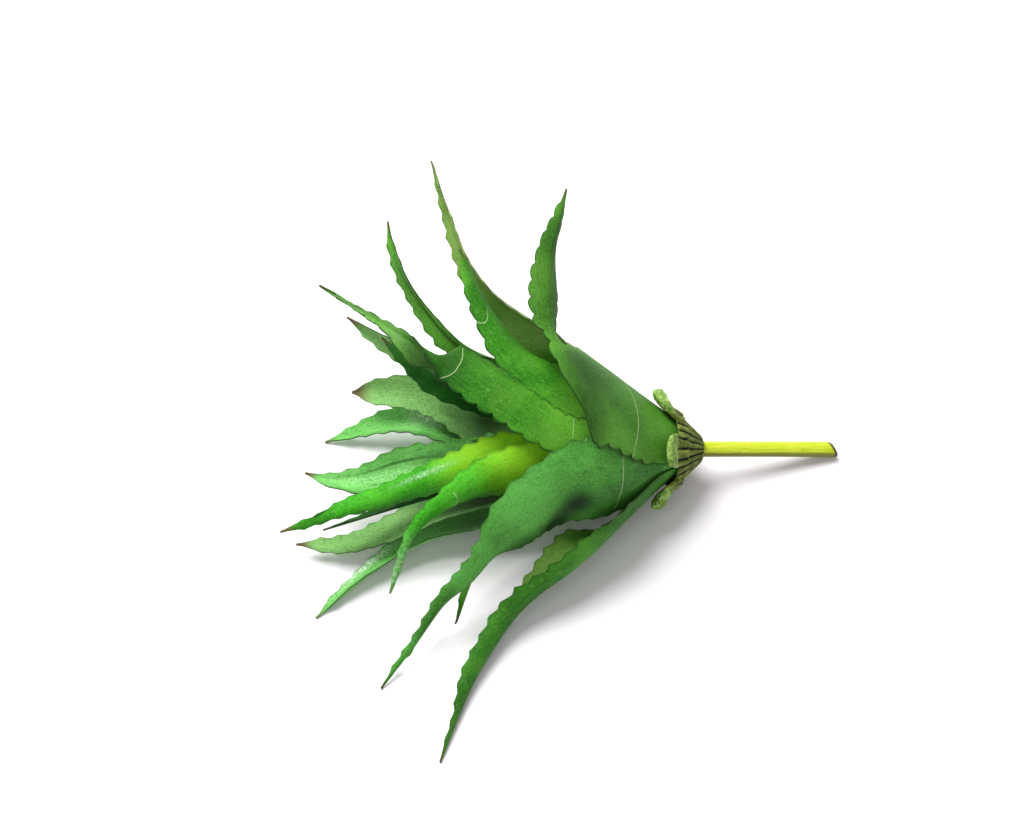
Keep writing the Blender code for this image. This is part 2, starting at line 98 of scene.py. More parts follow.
# What each leaf adds. base is the azimuth of its root, and through the places that its midrib passes, each
# along the axis, by azimuth and by radius. All other places are shares of the blade's length.
# widths are half widths at such places. Without them the blade has the ring's width, scaled by size.
# roll is half the angle that the free blade's section turns through, at its middle and at its tip, and curl
# is where it takes that on. twist turns the blade about its midrib, and lean shifts its width to one margin.
# wrap is where it leaves the cone, lap is how its two margins step past their neighbours', and fold is how
# sharply the free blade is creased along its midrib.
# hollow goes from lobes that meet in nicks (0) to curves that meet in points (1), and inset draws the
# toothed margins in.
PLAIN = dict(
    roll=(55, 50), twist=((0.15, 0), (0.95, 0)), size=1.0, wrap=(0.16, 0.40), lap=(-1, 1),
    lean=((0, 0), (1, 0)), curl=(0.35, 0.65), fold=0.25, hollow=0.75, inset=0.0)
OUTER_LEAVES = {
    "leaf_outer_1": dict(
        base=60, roll=(50, 60), twist=((0.5, 0), (0.95, 20)), lap=(1, 1), wrap=(0.44, 0.56), fold=0.5,
        hollow=0.15,
        lean=((0.0, 0.0), (0.36, 0.0), (0.43, -0.22), (0.5, -0.1), (0.56, 0.0)),
        widths=((0.0, 1.6), (0.1, 13.5), (0.2, 21), (0.3, 25.5), (0.38, 26.5), (0.43, 24.5), (0.48, 13.5),
                (0.53, 3.8), (0.58, 3.0), (0.63, 6.0), (0.69, 7.6), (0.78, 6.6), (0.9, 2.8), (1.0, 0.7)),
        through=((47, 47, 35), (58, 46, 42), (66, 32, 46.5), (68.5, 15, 50.5), (68, 7, 62), (64.5, 0, 82),
                 (59.5, -3, 95), (55, -6, 107))),
    "leaf_outer_2": dict(
        base=118, roll=(45, 60), wrap=(0.34, 0.6), lap=(-1, -1),
        lean=((0.0, 0.0), (0.48, 0.0), (0.56, -0.18), (0.6, -0.46), (0.64, -0.56), (0.7, -0.42),
              (0.76, -0.36), (0.84, -0.4), (0.92, -0.3), (1.0, 0.0)),
        widths=((0.0, 1.6), (0.1, 8.6), (0.22, 15.8), (0.35, 18.5), (0.48, 18), (0.56, 12.8), (0.6, 9.8),
                (0.64, 7.9), (0.7, 6.2), (0.76, 4.4), (0.84, 2.7), (0.92, 1.6), (1.0, 0.7)),
        through=((47, 116, 34), (64.8, 114, 38.5), (83.3, 129.5, 42.5), (98.2, 145, 48), (107, 161, 56),
                 (114, 170, 63), (121, 174.5, 74), (129, 177, 86), (137, 178.2, 97.5))),
    "leaf_outer_3": dict(
        base=166, roll=(85, 70), lap=(1, 1), wrap=(0.16, 0.36), curl=(0.22, 0.38),
        twist=((0.24, 0), (0.36, -20), (0.44, -18), (0.56, 8), (0.66, 35), (0.8, 35), (0.95, 0)),
        widths=((0.0, 1.6), (0.07, 9.2), (0.15, 15.6), (0.28, 18), (0.36, 16.5), (0.44, 14), (0.52, 11),
                (0.66, 8), (0.8, 5.4), (0.92, 2.6), (1.0, 0.7)),
        through=((44, 165, 38), (62, 167, 52.5), (75.5, 168.8, 62.5), (86.5, 170, 73.2),
                 (100.8, 169.7, 93), (110.8, 168.8, 112.8), (119, 167.7, 129.5))),
    "leaf_outer_4": dict(
        base=233, roll=(26, 30), wrap=(0.26, 0.46), size=0.95, taper=1.0, lap=(-1, -1),
        through=((47, 254, 29.6), (85, 280, 38.5), (115, 283, 49.5), (143, 272, 63.5))),
    "leaf_outer_5": dict(
        base=290, size=0.55, roll=(25, 40), wrap=(0.35, 0.7),
        through=((41, 299, 30), (65, 307, 41), (91, 311, 53))),
    "leaf_outer_6": dict(
        base=346, roll=(65, 65), size=0.86, wrap=(0.26, 0.46), fold=0.8,
        twist=((0.3, 0), (0.5, 20), (0.95, 20)),
        through=((46, 349, 33.5), (61.5, 349, 42), (77.5, 349, 55), (89.5, 351, 65), (100, 353, 81),
                 (107.5, 355, 100), (114, 357, 117.3))),
}


# The steps in which a curve is measured between two of its points.
CURVE_STEPS = 48


def curve_through(points, count):
    """Evenly spaced places on a smooth curve through the points, and its length."""
    ends = [points[0] * 2 - points[1]] + points + [points[-1] * 2 - points[-2]]
    dense = []
    for k in range(len(points) - 1):
        a, b, c, d = ends[k:k + 4]
        t1 = (b - a).length ** 0.5
        t2 = t1 + (c - b).length ** 0.5
        t3 = t2 + (d - c).length ** 0.5
        for step in range(CURVE_STEPS):
            t = t1 + (t2 - t1) * step / CURVE_STEPS
            ab = a * ((t1 - t) / t1) + b * (t / t1)
            bc = b * ((t2 - t) / (t2 - t1)) + c * ((t - t1) / (t2 - t1))
            cd = c * ((t3 - t) / (t3 - t2)) + d * ((t - t2) / (t3 - t2))
            abc = ab * ((t2 - t) / t2) + bc * (t / t2)
            bcd = bc * ((t3 - t) / (t3 - t1)) + cd * ((t - t1) / (t3 - t1))
            dense.append(abc * ((t2 - t) / (t2 - t1)) + bcd * ((t - t1) / (t2 - t1)))
    dense.append(points[-1])
    lengths = [0.0]
    for k in range(1, len(dense)):
        lengths.append(lengths[-1] + (dense[k] - dense[k - 1]).length)
    places = []
    k = 0
    for step in range(count + 1):
        want = lengths[-1] * step / count
        while k < len(dense) - 2 and lengths[k + 1] < want:
            k += 1
        share = (want - lengths[k]) / (lengths[k + 1] - lengths[k])
        places.append(dense[k].lerp(dense[k + 1], min(max(share, 0.0), 1.0)))
    return places, lengths[-1]


def frames_along(places):
    """Tangent and outward normal at every place, carried along without turning."""
    frames = []
    normal = None
    for k, place in enumerate(places):
        tangent = (places[min(k + 1, len(places) - 1)] - places[max(k - 1, 0)]).normalized()
        if normal is None:
            _, azimuth, _ = polar(place)
            normal = UP * math.cos(azimuth) + NEAR * math.sin(azimuth)
        normal = (normal - tangent * normal.dot(tangent)).normalized()
        frames.append((tangent, normal.copy()))
    return frames


# A blade's half width at its tip in mm, and at its root as a share of the ring's radius.
TIP_HALF_WIDTH = 0.7
ROOT_SHARE = 0.30


def blade_width(share, leaf):
    """Half width of the blade: its own line of widths, or a broad wrapping base and then a long taper."""
    if "widths" in leaf:
        return along_blade(leaf["widths"], share)
    widest = leaf["widest"]
    base = leaf["radius"] * ROOT_SHARE
    full = leaf["half_width"] * leaf["size"]
    if share < widest:
        return base + (full - base) * math.sin(math.pi / 2 * share / widest)
    rest = (1.0 - share) / (1.0 - widest)
    return TIP_HALF_WIDTH + (full - TIP_HALF_WIDTH) * rest ** leaf["taper"]


def along_blade(pairs, share):
    """A value on a smooth line through the given ones, each with its share of the blade's length."""
    if share <= pairs[0][0]:
        return pairs[0][1]
    for k in range(len(pairs) - 1):
        at, value = pairs[k]
        next_at, next_value = pairs[k + 1]
        if share <= next_at:
            before = pairs[max(k - 1, 0)]
            after = pairs[min(k + 2, len(pairs) - 1)]
            run = next_at - at
            part = (share - at) / run
            lead = (next_value - before[1]) / (next_at - before[0]) * run
            trail = (after[1] - value) / (after[0] - at) * run
            square = part * part
            cube = square * part
            return (value * (2 * cube - 3 * square + 1) + lead * (cube - 2 * square + part)
                    + next_value * (3 * square - 2 * cube) + trail * (cube - square))
    return pairs[-1][1]


# The teeth: their pitch in mm, the least number of pitches, and the rows of faces in one pitch. Their depth
# falls to a share of itself over the last stretch of the blade. Depths, and the places of the points, vary
# by chance. The margin is toothed and drawn in by its inset from one place on, and the inset is full at
# the next.
TOOTH_PITCH = 7.4
LEAST_PITCHES = 12
FINE = 6
TOOTH_DEPTH = 1.9
TIP_DEPTH = 0.45
DEPTH_FALLS_OVER = 0.6
DEPTH_VARIES = (0.8, 1.2)
POINT_LIES = (0.55, 0.75)
TOOTHED_FROM = 0.2
INSET_IS_FULL = 0.3

# The powers that shape the hollow curves and the lobes, and the share by which the row of points next to the
# margin follows it.
HOLLOW_POWER = 1.9
LOBE_POWER = 0.55
NEXT_ROW_FOLLOWS = 0.35


def teeth_along(name, pitches):
    """For each margin and each pitch along it: where the tooth's point is, and how far it stands out."""
    chance = random.Random(name)
    margins = []
    for _ in range(2):
        margin = []
        for k in range(pitches):
            share = (k + 0.5) / pitches
            if share < TOOTHED_FROM or k >= pitches - 1:
                margin.append((0.5, 0.0))
                continue
            deep = smooth(1.0 - share, 0.0, DEPTH_FALLS_OVER)
            depth = TOOTH_DEPTH * (TIP_DEPTH + (1.0 - TIP_DEPTH) * deep) * chance.uniform(*DEPTH_VARIES)
            margin.append((chance.uniform(*POINT_LIES), depth))
        margins.append(margin)
    return margins


def tooth_reach(margin, run, hollow):
    """How far a margin stands out at a run of pitches along it."""
    pitch = min(int(run), len(margin) - 1)
    point, depth = margin[pitch]
    part = run - pitch
    rise = part / point if part < point else (1.0 - part) / (1.0 - point)
    curve = rise ** HOLLOW_POWER
    lobe = math.sin(math.pi / 2 * rise) ** LOBE_POWER
    return depth * (hollow * curve + (1.0 - hollow) * lobe)


# The run of a blade's root up the cone in mm, and how far the blade draws in to a point over its last
# stretch.
ROOT_RUN = 13.0
POINT_DRAWS_IN = 0.7
POINT_FROM = 0.955

# How a blade bends: how much of the cone's curve its section takes up at the root, the stretches where its
# roll changes and its crease grows, the tightest bend of its sheet in mm, how rounded the crease is, and the
# height, the run and the start of the ripple along its free margins.
CONE_CURL = 0.8
ROLL_CHANGES = (0.5, 0.9)
CREASE_GROWS = (0.45, 0.75)
TIGHTEST_BEND = 1.1
CREASE_ROUNDING = 0.004
RIPPLE = 0.35
RIPPLE_RUN = 5.3
RIPPLE_STARTS = (0.0, 9.0)


def midrib(leaf):
    """The points that a blade's midrib passes, from its root on the cone to its tip."""
    base = math.radians(leaf["base"])
    points = [rosette(leaf["along"], base, leaf["radius"]),
              rosette(leaf["along"] + ROOT_RUN, base, leaf["radius"] + ROOT_RUN * leaf["slope"])]
    for along, azimuth, radius in leaf["through"]:
        points.append(rosette(along, math.radians(azimuth), radius))
    return points


def blade_row(leaf, place, frame_here, share, run, ripple):
    """A row of points across the blade, wrapped on the cone or rolled and creased, and its half width."""
    tangent, normal = frame_here
    along, azimuth, radius = polar(place)
    half = blade_width(share, leaf) * (1.0 - POINT_DRAWS_IN * smooth(share, POINT_FROM, 1.0))
    turn = Quaternion(tangent, math.radians(along_blade(leaf["twist"], share)))
    outward = turn @ normal
    side = tangent.cross(outward)
    roll_mid, roll_tip = leaf["roll"]
    free_roll = math.radians(roll_mid + (roll_tip - roll_mid) * smooth(share, *ROLL_CHANGES))
    cone_roll = CONE_CURL * half / radius
    roll = cone_roll + (free_roll - cone_roll) * smooth(share, *leaf["curl"])
    roll = min(roll, half / TIGHTEST_BEND)
    bend = half / roll
    lean = along_blade(leaf["lean"], share)
    free = smooth(share, *leaf["wrap"])
    crease = leaf["fold"] * smooth(share, *CREASE_GROWS)
    row = []
    for j in range(leaf["strips"] + 1):
        across = 2.0 * j / leaf["strips"] - 1.0
        across *= 1.0 + (lean if across > 0 else -lean)
        angle = across * roll
        rolled = place + side * (bend * math.sin(angle)) - outward * (bend * (1.0 - math.cos(angle)))
        drop = math.sqrt(across * across + CREASE_ROUNDING) - math.sqrt(CREASE_ROUNDING)
        creased = (place + side * (across * bend * math.sin(roll))
                   - outward * (drop * bend * (1.0 - math.cos(roll))))
        loose = rolled.lerp(creased, crease)
        step = abs(across) * leaf["lap"][0 if across < 0 else 1] * leaf["step"]
        wrapped = rosette(along, azimuth - across * half / radius, radius + step)
        wave = RIPPLE * free * abs(across) ** 3 * math.sin(ripple + across + run / RIPPLE_RUN)
        row.append(wrapped.lerp(loose, free) + outward * wave)
    return row, half


def cut_teeth(grid, margins, leaf):
    """Moves both margins of the blade in or out, row by row, so that they run in teeth."""
    rows = len(grid) - 1
    strips = leaf["strips"]
    for k, row in enumerate(grid):
        inset = leaf["inset"] * smooth(k / rows, TOOTHED_FROM, INSET_IS_FULL)
        for margin, edge, inner in ((margins[0], 0, 1), (margins[1], strips, strips - 1)):
            reach = tooth_reach(margin, k / FINE, leaf["hollow"]) - inset
            out = (row[edge] - row[inner]).normalized()
            row[inner] = row[inner] + out * (reach * NEXT_ROW_FOLLOWS)
            row[edge] = row[edge] + out * reach


# The sheet's thickness in mm, and by what share it thins from a place near its margins outwards.
SHEET = 0.8
MARGIN_THINS = 0.35
THINS_FROM = 0.86

# The note that every face carries: whether it is on the outer face, on the cut edge or on the inner face.
OUTER_FACE = 0.0
CUT_FACE = 0.5
INNER_FACE = 1.0


def thick_sheet(name, grid):
    """The blade as a closed thin mesh, with its own lengths laid out for its colours."""
    rows = len(grid) - 1
    strips = len(grid[0]) - 1

    def facing(k, j):
        """The way that the sheet's outer face looks at one point."""
        down = grid[min(k + 1, rows)][j] - grid[max(k - 1, 0)][j]
        over = grid[k][min(j + 1, strips)] - grid[k][max(j - 1, 0)]
        return over.cross(down).normalized()

    sheet = bmesh.new()
    lengths = sheet.loops.layers.uv.new("blade")
    inside = sheet.faces.layers.float.new("inside")
    layout = {}
    outer = []
    inner = []
    for k in range(rows + 1):
        outer.append([])
        inner.append([])
        for j in range(strips + 1):
            across = 2.0 * j / strips - 1.0
            thin = 1.0 - MARGIN_THINS * smooth(abs(across), THINS_FROM, 1.0)
            lift = facing(k, j) * (SHEET / 2 * thin)
            for skin, where in ((outer, grid[k][j] + lift), (inner, grid[k][j] - lift)):
                corner = sheet.verts.new(resting(where))
                layout[corner] = (0.5 + 0.5 * across, k / rows)
                skin[k].append(corner)

    def quad(a, b, c, d, face_inside):
        """One face, with its note and its corners' places in the layout."""
        face = sheet.faces.new((a, b, c, d))
        face.smooth = True
        face[inside] = face_inside
        for loop in face.loops:
            loop[lengths].uv = layout[loop.vert]

    for k in range(rows):
        here, after = outer[k], outer[k + 1]
        here_in, after_in = inner[k], inner[k + 1]
        for j in range(strips):
            quad(here[j], here[j + 1], after[j + 1], after[j], OUTER_FACE)
            quad(here_in[j], after_in[j], after_in[j + 1], here_in[j + 1], INNER_FACE)
        quad(here[0], after[0], after_in[0], here_in[0], CUT_FACE)
        quad(after[strips], here[strips], here_in[strips], after_in[strips], CUT_FACE)
    for j in range(strips):
        quad(outer[0][j + 1], outer[0][j], inner[0][j], inner[0][j + 1], CUT_FACE)
        quad(outer[rows][j], outer[rows][j + 1], inner[rows][j + 1], inner[rows][j], CUT_FACE)
    bmesh.ops.recalc_face_normals(sheet, faces=sheet.faces)
    for edge in sheet.edges:
        sides = {face[inside] for face in edge.link_faces}
        edge.smooth = len(sides) == 1
    data = bpy.data.meshes.new(name)
    sheet.to_mesh(data)
    sheet.free()
    return data


def leaf_sheet(name, ring, own):
    """A toothed blade's mesh, its length and its greatest half width."""
    leaf = {**PLAIN, **ring, **own}
    points = midrib(leaf)
    _, length = curve_through(points, 1)
    pitches = max(LEAST_PITCHES, round(length / TOOTH_PITCH))
    rows = pitches * FINE
    places, length = curve_through(points, rows)
    margins = teeth_along(name, pitches)
    ripple = random.Random(name).uniform(*RIPPLE_STARTS)
    grid = []
    widths = []
    for k, (place, frame_here) in enumerate(zip(places, frames_along(places))):
        row, half = blade_row(leaf, place, frame_here, k / rows, length * (k / rows), ripple)
        grid.append(row)
        widths.append(half)
    cut_teeth(grid, margins, leaf)
    return thick_sheet(name, grid), length, max(widths)


class Tone:
    """One socket of a finish. Arithmetic on tones adds the Math nodes that work it out."""

    def __init__(self, tree, socket):
        self.tree = tree
        self.socket = socket

    def make(self, kind, settings, inputs, output=0):
        """Any other node of the same finish: its settings are set first, then its sockets."""
        node = self.tree.nodes.new(kind)
        for key, value in settings.items():
            setattr(node, key, value)
        for key, value in inputs.items():
            if isinstance(value, Tone):
                self.tree.links.new(value.socket, node.inputs[key])
            else:
                node.inputs[key].default_value = value
        return Tone(self.tree, node.outputs[output])

    def maths(self, operation, *values):
        """A Math node on tones and numbers."""
        return self.make("ShaderNodeMath", {"operation": operation}, dict(enumerate(values)))

    def __add__(self, other):
        return self.maths("ADD", self, other)

    def __sub__(self, other):
        return self.maths("SUBTRACT", self, other)

    def __rsub__(self, other):
        return self.maths("SUBTRACT", other, self)

    def __mul__(self, other):
        return self.maths("MULTIPLY", self, other)

    def __abs__(self):
        return self.maths("ABSOLUTE", self)

    __radd__ = __add__
    __rmul__ = __mul__

    def between(self, low, high):
        """0 below low, 1 above high and a soft step from one to the other."""
        return self.make("ShaderNodeMapRange", {"interpolation_type": "SMOOTHSTEP"},
                         {"Value": self, "From Min": low, "From Max": high})

    def near(self, place, width):
        """1 at a place and 0 beyond a width on either side of it."""
        return 1.0 - abs(self - place).between(0.0, width)

    def paint(self, under, over):
        """This tone as the cover of one colour over another, by a Mix node's sockets for colours."""
        return self.make("ShaderNodeMix", {"data_type": "RGBA"}, {0: self, 6: under, 7: over}, 2)

    def part(self, axis):
        """One number of this vector."""
        return self.make("ShaderNodeSeparateXYZ", {}, {"Vector": self}, axis)

    def cloudy(self, scale, detail, roughness=0.5):
        """Noise over this vector."""
        return self.make("ShaderNodeTexNoise", {}, {
            "Vector": self, "Scale": scale, "Detail": detail, "Roughness": roughness})


def rgb(red, green, blue):
    """A colour in linear light."""
    return (red, green, blue, 1.0)


def new_finish(name):
    """An empty finish: its surface, a tone to make its first nodes from, and its shader."""
    surface = bpy.data.materials.new(name)
    surface.use_nodes = True
    tree = surface.node_tree
    shader = tree.nodes["Principled BSDF"]
    shader.inputs["Metallic"].default_value = 0.0
    return surface, Tone(tree, None), shader


def mesh_note(start, name):
    """A number that the mesh carries."""
    return start.make("ShaderNodeAttribute", {"attribute_name": name}, {}, "Fac")


def dress(surface, start, shader, colour, roughness, height, depth):
    """Links the colour, the roughness and the relief of a finish to its shader, with a depth in metres."""
    relief = start.make("ShaderNodeBump", {}, {"Strength": 1.0, "Distance": depth, "Height": height})
    for socket, tone in (("Base Color", colour), ("Roughness", roughness), ("Normal", relief)):
        surface.node_tree.links.new(tone.socket, shader.inputs[socket])


# The greens: outer face, inner face and the lighter tone that is sprayed on in soft patches.
GREENS = {
    "mid": (rgb(0.034, 0.200, 0.010), rgb(0.085, 0.270, 0.036), rgb(0.120, 0.400, 0.034)),
    "fresh": (rgb(0.026, 0.196, 0.007), rgb(0.130, 0.310, 0.070), rgb(0.112, 0.395, 0.028)),
    "olive": (rgb(0.034, 0.148, 0.007), rgb(0.240, 0.400, 0.090), rgb(0.100, 0.320, 0.028)),
    "cool": (rgb(0.046, 0.200, 0.022), rgb(0.085, 0.270, 0.040), rgb(0.115, 0.440, 0.070)),
    "rolled": (rgb(0.028, 0.160, 0.009), rgb(0.260, 0.500, 0.095), rgb(0.090, 0.330, 0.028)),
    "lime": (rgb(0.030, 0.300, 0.006), rgb(0.120, 0.420, 0.050), rgb(0.090, 0.520, 0.024)),
    "pale": (rgb(0.140, 0.370, 0.075), rgb(0.165, 0.390, 0.095), rgb(0.250, 0.520, 0.160)),
    # A lit copy of the greens: painted light for leaves that face the lamp.
    "painted_lit": (rgb(0.110, 0.440, 0.065), rgb(0.140, 0.480, 0.090), rgb(0.230, 0.640, 0.170)),
    # Near-black greens: painted shade for leaves that lie in the shadow of others.
    "dark": (rgb(0.004, 0.064, 0.002), rgb(0.010, 0.100, 0.004), rgb(0.018, 0.160, 0.008)),
}

# The tints sprayed at the roots of some leaves.
ROOT_TINTS = {
    "olive": GREENS["olive"][2],
    "spring": rgb(0.190, 0.540, 0.050),
    "young": rgb(0.440, 0.940, 0.030),
}

BROWN_TIP = rgb(0.120, 0.070, 0.035)
# The dark olive of the cut edges, which painted shade deepens where the margins are darkened.
CUT_EDGE = rgb(0.020, 0.050, 0.010)
PALE_EDGE = rgb(0.420, 0.500, 0.240)
MOULD_LINE = rgb(0.620, 0.720, 0.400)
# Pale for painted highlights where the lamp's highlight falls.
PAINTED_HIGHLIGHT_PALE = rgb(0.680, 0.820, 0.640)
# Near-black green: painted shade in hollows and gaps and under margins, and dark flecks in the paint.
DARK_GREEN_AND_SHADE = rgb(0.004, 0.028, 0.002)

# The width of the painted shade along a margin, the run of the browning at every tip, and how far a brown
# tip's edge is broken up, all in mm. Then a mould line's width and the mean of its wandering in mm, how soft
# its ends are across the blade, and its strength.
MARGIN_SHADE = 1.3
TIP_BROWNS = 6.0
TIP_BREAKS_UP = 5.0
LINE_WIDTH = (0.05, 0.24)
WANDER_MEAN = 1.0
LINE_END = 0.05
LINE_STRENGTH = 0.62

# The relief of the painted plastic in metres, and its faint sheen.
LEAF_RELIEF = 0.00035
LEAF_SHEEN = 0.12


def mould_line(across, far, length, wander, arc):
    """A thin bowed line across the blade, over a stretch of its width."""
    at, bow, middle, low_across, high_across = arc
    aside = across - middle
    off = abs(far - at * length - aside * aside * (bow * length) - wander + WANDER_MEAN)
    starts = across.between(low_across - LINE_END, low_across)
    ends = across.between(high_across, high_across + LINE_END)
    return (1.0 - off.between(*LINE_WIDTH)) * (starts * (1.0 - ends))


def leaf_finish(name, shade, length, half, young=None, arcs=(), dark=(), painted_light=(), painted_highlight=(),
                tip=0.0, rim=0.0, edge=0.35):
    """Painted soft plastic: lengthwise grain, sprayed patches, pale mould lines and browned tips, and
    painted light, painted shade and painted highlights.
    """
    outer, inner, spray = GREENS[shade]
    surface, start, shader = new_finish(f"{name}_paint")
    place = start.make("ShaderNodeUVMap", {"uv_map": "blade"}, {})
    across = place.part("X") * 2.0 - 1.0
    share = place.part("Y")
    inside = mesh_note(start, "inside")
    spot = start.make("ShaderNodeTexCoord", {}, {}, "Object")
    wide = across * half
    far = share * length

    fibres = start.make("ShaderNodeCombineXYZ", {}, {"X": wide * 1.9, "Y": far * 0.11, "Z": inside * 3.0})
    strokes = start.make("ShaderNodeCombineXYZ", {}, {
        "X": wide * 1.5, "Y": far * 0.42, "Z": inside * 7.0 + 20.0})
    grain = fibres.cloudy(scale=1.0, detail=4.0, roughness=0.65)
    scratch = strokes.cloudy(scale=1.0, detail=2.0)
    cloud = spot.cloudy(scale=42.0, detail=3.0)
    mottle = spot.cloudy(scale=950.0, detail=3.0, roughness=0.7)
    pebble = spot.cloudy(scale=420.0, detail=2.0)

    def patch(texture, at_across, at_share, reach_across, reach_share, strength):
        """A soft oval patch, broken up by a texture."""
        return across.near(at_across, reach_across) * share.near(at_share, reach_share) * texture * strength

    colour = inside.paint(outer, inner)
    colour = (cloud.between(0.42, 0.68) * 0.75).paint(colour, spray)
    if young:
        young_from, young_to, strength, tint = young
        root = (1.0 - share.between(young_from, young_to)) * strength
        colour = root.paint(colour, ROOT_TINTS[tint])
    colour = ((1.0 - cloud.between(0.26, 0.46)) * 0.35).paint(colour, DARK_GREEN_AND_SHADE)
    soft = 0.72 + cloud * 0.56
    # Painted light: lighter patches where the lamp falls on the blade.
    for mark in painted_light:
        colour = patch(soft, *mark).paint(colour, spray)
    colour = (grain.between(0.46, 0.70) * 0.38).paint(colour, spray)
    colour = ((1.0 - grain.between(0.28, 0.50)) * 0.42).paint(colour, DARK_GREEN_AND_SHADE)
    colour = (mottle.between(0.50, 0.66) * 0.30).paint(colour, spray)
    colour = ((1.0 - mottle.between(0.34, 0.52)) * 0.32).paint(colour, DARK_GREEN_AND_SHADE)
    if young:
        colour = (root * 0.4).paint(colour, ROOT_TINTS[tint])
    colour = (scratch.between(0.67, 0.74) * 0.45).paint(colour, MOULD_LINE)
    # Painted shade: near-black patches in hollows, dents and gaps, and where other leaves shadow the blade.
    for mark in dark:
        colour = patch(soft, *mark).paint(colour, DARK_GREEN_AND_SHADE)
    # Painted highlights: pale speckled patches where the lamp's highlight falls.
    for mark in painted_highlight:
        speckle = 0.25 + mottle.between(0.42, 0.62) * 0.9
        colour = patch(speckle, *mark).paint(colour, PAINTED_HIGHLIGHT_PALE)
    wander = cloud * 1.6 + pebble * 0.4
    for arc in arcs:
        line = mould_line(across, far, length, wander, arc)
        colour = (line * (1.0 - inside) * LINE_STRENGTH).paint(colour, MOULD_LINE)
    # Painted shade along the margins, as in the gaps where they lie over other leaves.
    margin = abs(across).between(1.0 - MARGIN_SHADE / half, 1.0)
    colour = (margin * edge).paint(colour, DARK_GREEN_AND_SHADE)
    # The cut edges in their own dark olive, deepened with painted shade as far as the margins are.
    cut = 1.0 - abs(inside - CUT_FACE).between(0.1, 0.4)
    colour = (cut * (0.55 + edge / 2)).paint(colour, CUT_EDGE)
    if rim > 0.0:
        colour = (cut * (rim * mottle.between(0.3, 0.5))).paint(colour, PALE_EDGE)
    colour = (far.between(length - TIP_BROWNS, length) * 0.6).paint(colour, BROWN_TIP)
    if tip > 0.0:
        browned = (far + mottle * TIP_BREAKS_UP).between(length - tip, length + 1.0)
        colour = (browned * 0.85).paint(colour, BROWN_TIP)

    roughness = 0.44 + pebble * 0.20 + cloud * 0.10
    height = grain * 0.50 + pebble * 0.20 + mottle * 0.30
    dress(surface, start, shader, colour, roughness, height, LEAF_RELIEF)
    shader.inputs["Specular IOR Level"].default_value = LEAF_SHEEN
    return surface


def make_leaf(name, ring, leaf, marks):
    """One finished leaf, riding the root in place of the plain one of the same name."""
    data, length, half = leaf_sheet(name, ring, leaf)
    data.materials.append(leaf_finish(name, length=length, half=half, **marks))
    blade = bpy.data.objects.new(f"{name}_blade", data)
    bpy.context.scene.collection.objects.link(blade)
    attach(blade, "root")
    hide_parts(name)


# The paint of each leaf. shade names its greens. Three lists of soft patches are painted light,
# painted shade and painted highlights: for each, the place across the blade (-1 to 1) and along it (0 to 1),
# the reach both ways and the strength. young is a tint at the root: where it starts to fade, where it ends,
# its strength and its name. arcs are pale mould lines: the place along the blade, the bow, the middle of the
# bow, and the stretch of the width. tip is the run of a brown tip in mm, rim is how pale the cut edge is,
# and edge how much painted shade darkens the margins and the cut edges.
OUTER_MARKS = {
    "leaf_outer_1": dict(
        shade="olive", young=(0.10, 0.34, 0.55, "olive"), arcs=((0.232, 0.035, 0.0, -1.0, 0.75),), edge=0.8,
        dark=((0.0, 0.42, 1.3, 0.14, 0.65), (-0.9, 0.45, 0.6, 0.10, 0.5), (0.0, 0.80, 3.0, 0.36, 0.3),
              (0.9, 0.75, 0.7, 0.4, 0.4)),
        painted_light=((-0.95, 0.30, 0.5, 0.16, 0.7),)),
    "leaf_outer_2": dict(
        shade="cool", arcs=((0.248, 0.010, 0.0, -0.8, 0.95),), painted_light=((0.5, 0.48, 1.1, 0.15, 1.1),),
        dark=((-0.45, 0.36, 0.6, 0.08, 1.1), (-0.9, 0.41, 0.6, 0.08, 1.3), (-0.95, 0.58, 0.7, 0.24, 0.8),
              (-0.6, 0.27, 1.0, 0.10, 0.4))),
    "leaf_outer_3": dict(
        shade="rolled",
        dark=((0.4, 0.24, 1.4, 0.18, 0.3), (-0.8, 0.62, 0.6, 0.4, 0.35), (0.0, 0.95, 3.0, 0.3, 0.3))),
    "leaf_outer_4": dict(
        shade="painted_lit", painted_highlight=((-0.35, 0.72, 0.9, 0.07, 0.8),),
        dark=((0.0, 0.54, 2.0, 0.13, 1.0), (0.3, 0.63, 0.9, 0.09, 0.6), (0.95, 0.75, 0.3, 0.3, 0.4))),
    "leaf_outer_5": dict(shade="mid"),
    "leaf_outer_6": dict(
        shade="olive", painted_light=((0.3, 0.62, 1.0, 0.12, 0.6),), dark=((-0.8, 0.60, 0.8, 0.18, 0.4),), rim=0.5),
}
for leaf_name, outer_leaf in OUTER_LEAVES.items():
    make_leaf(leaf_name, OUTER_RING, outer_leaf, OUTER_MARKS[leaf_name])


# Leaves of the second ring: six narrower blades of the same plastic, pushed on one step higher.
# The two upper ones are sprayed a lighter green at their roots, and the one at the lower back is pale.

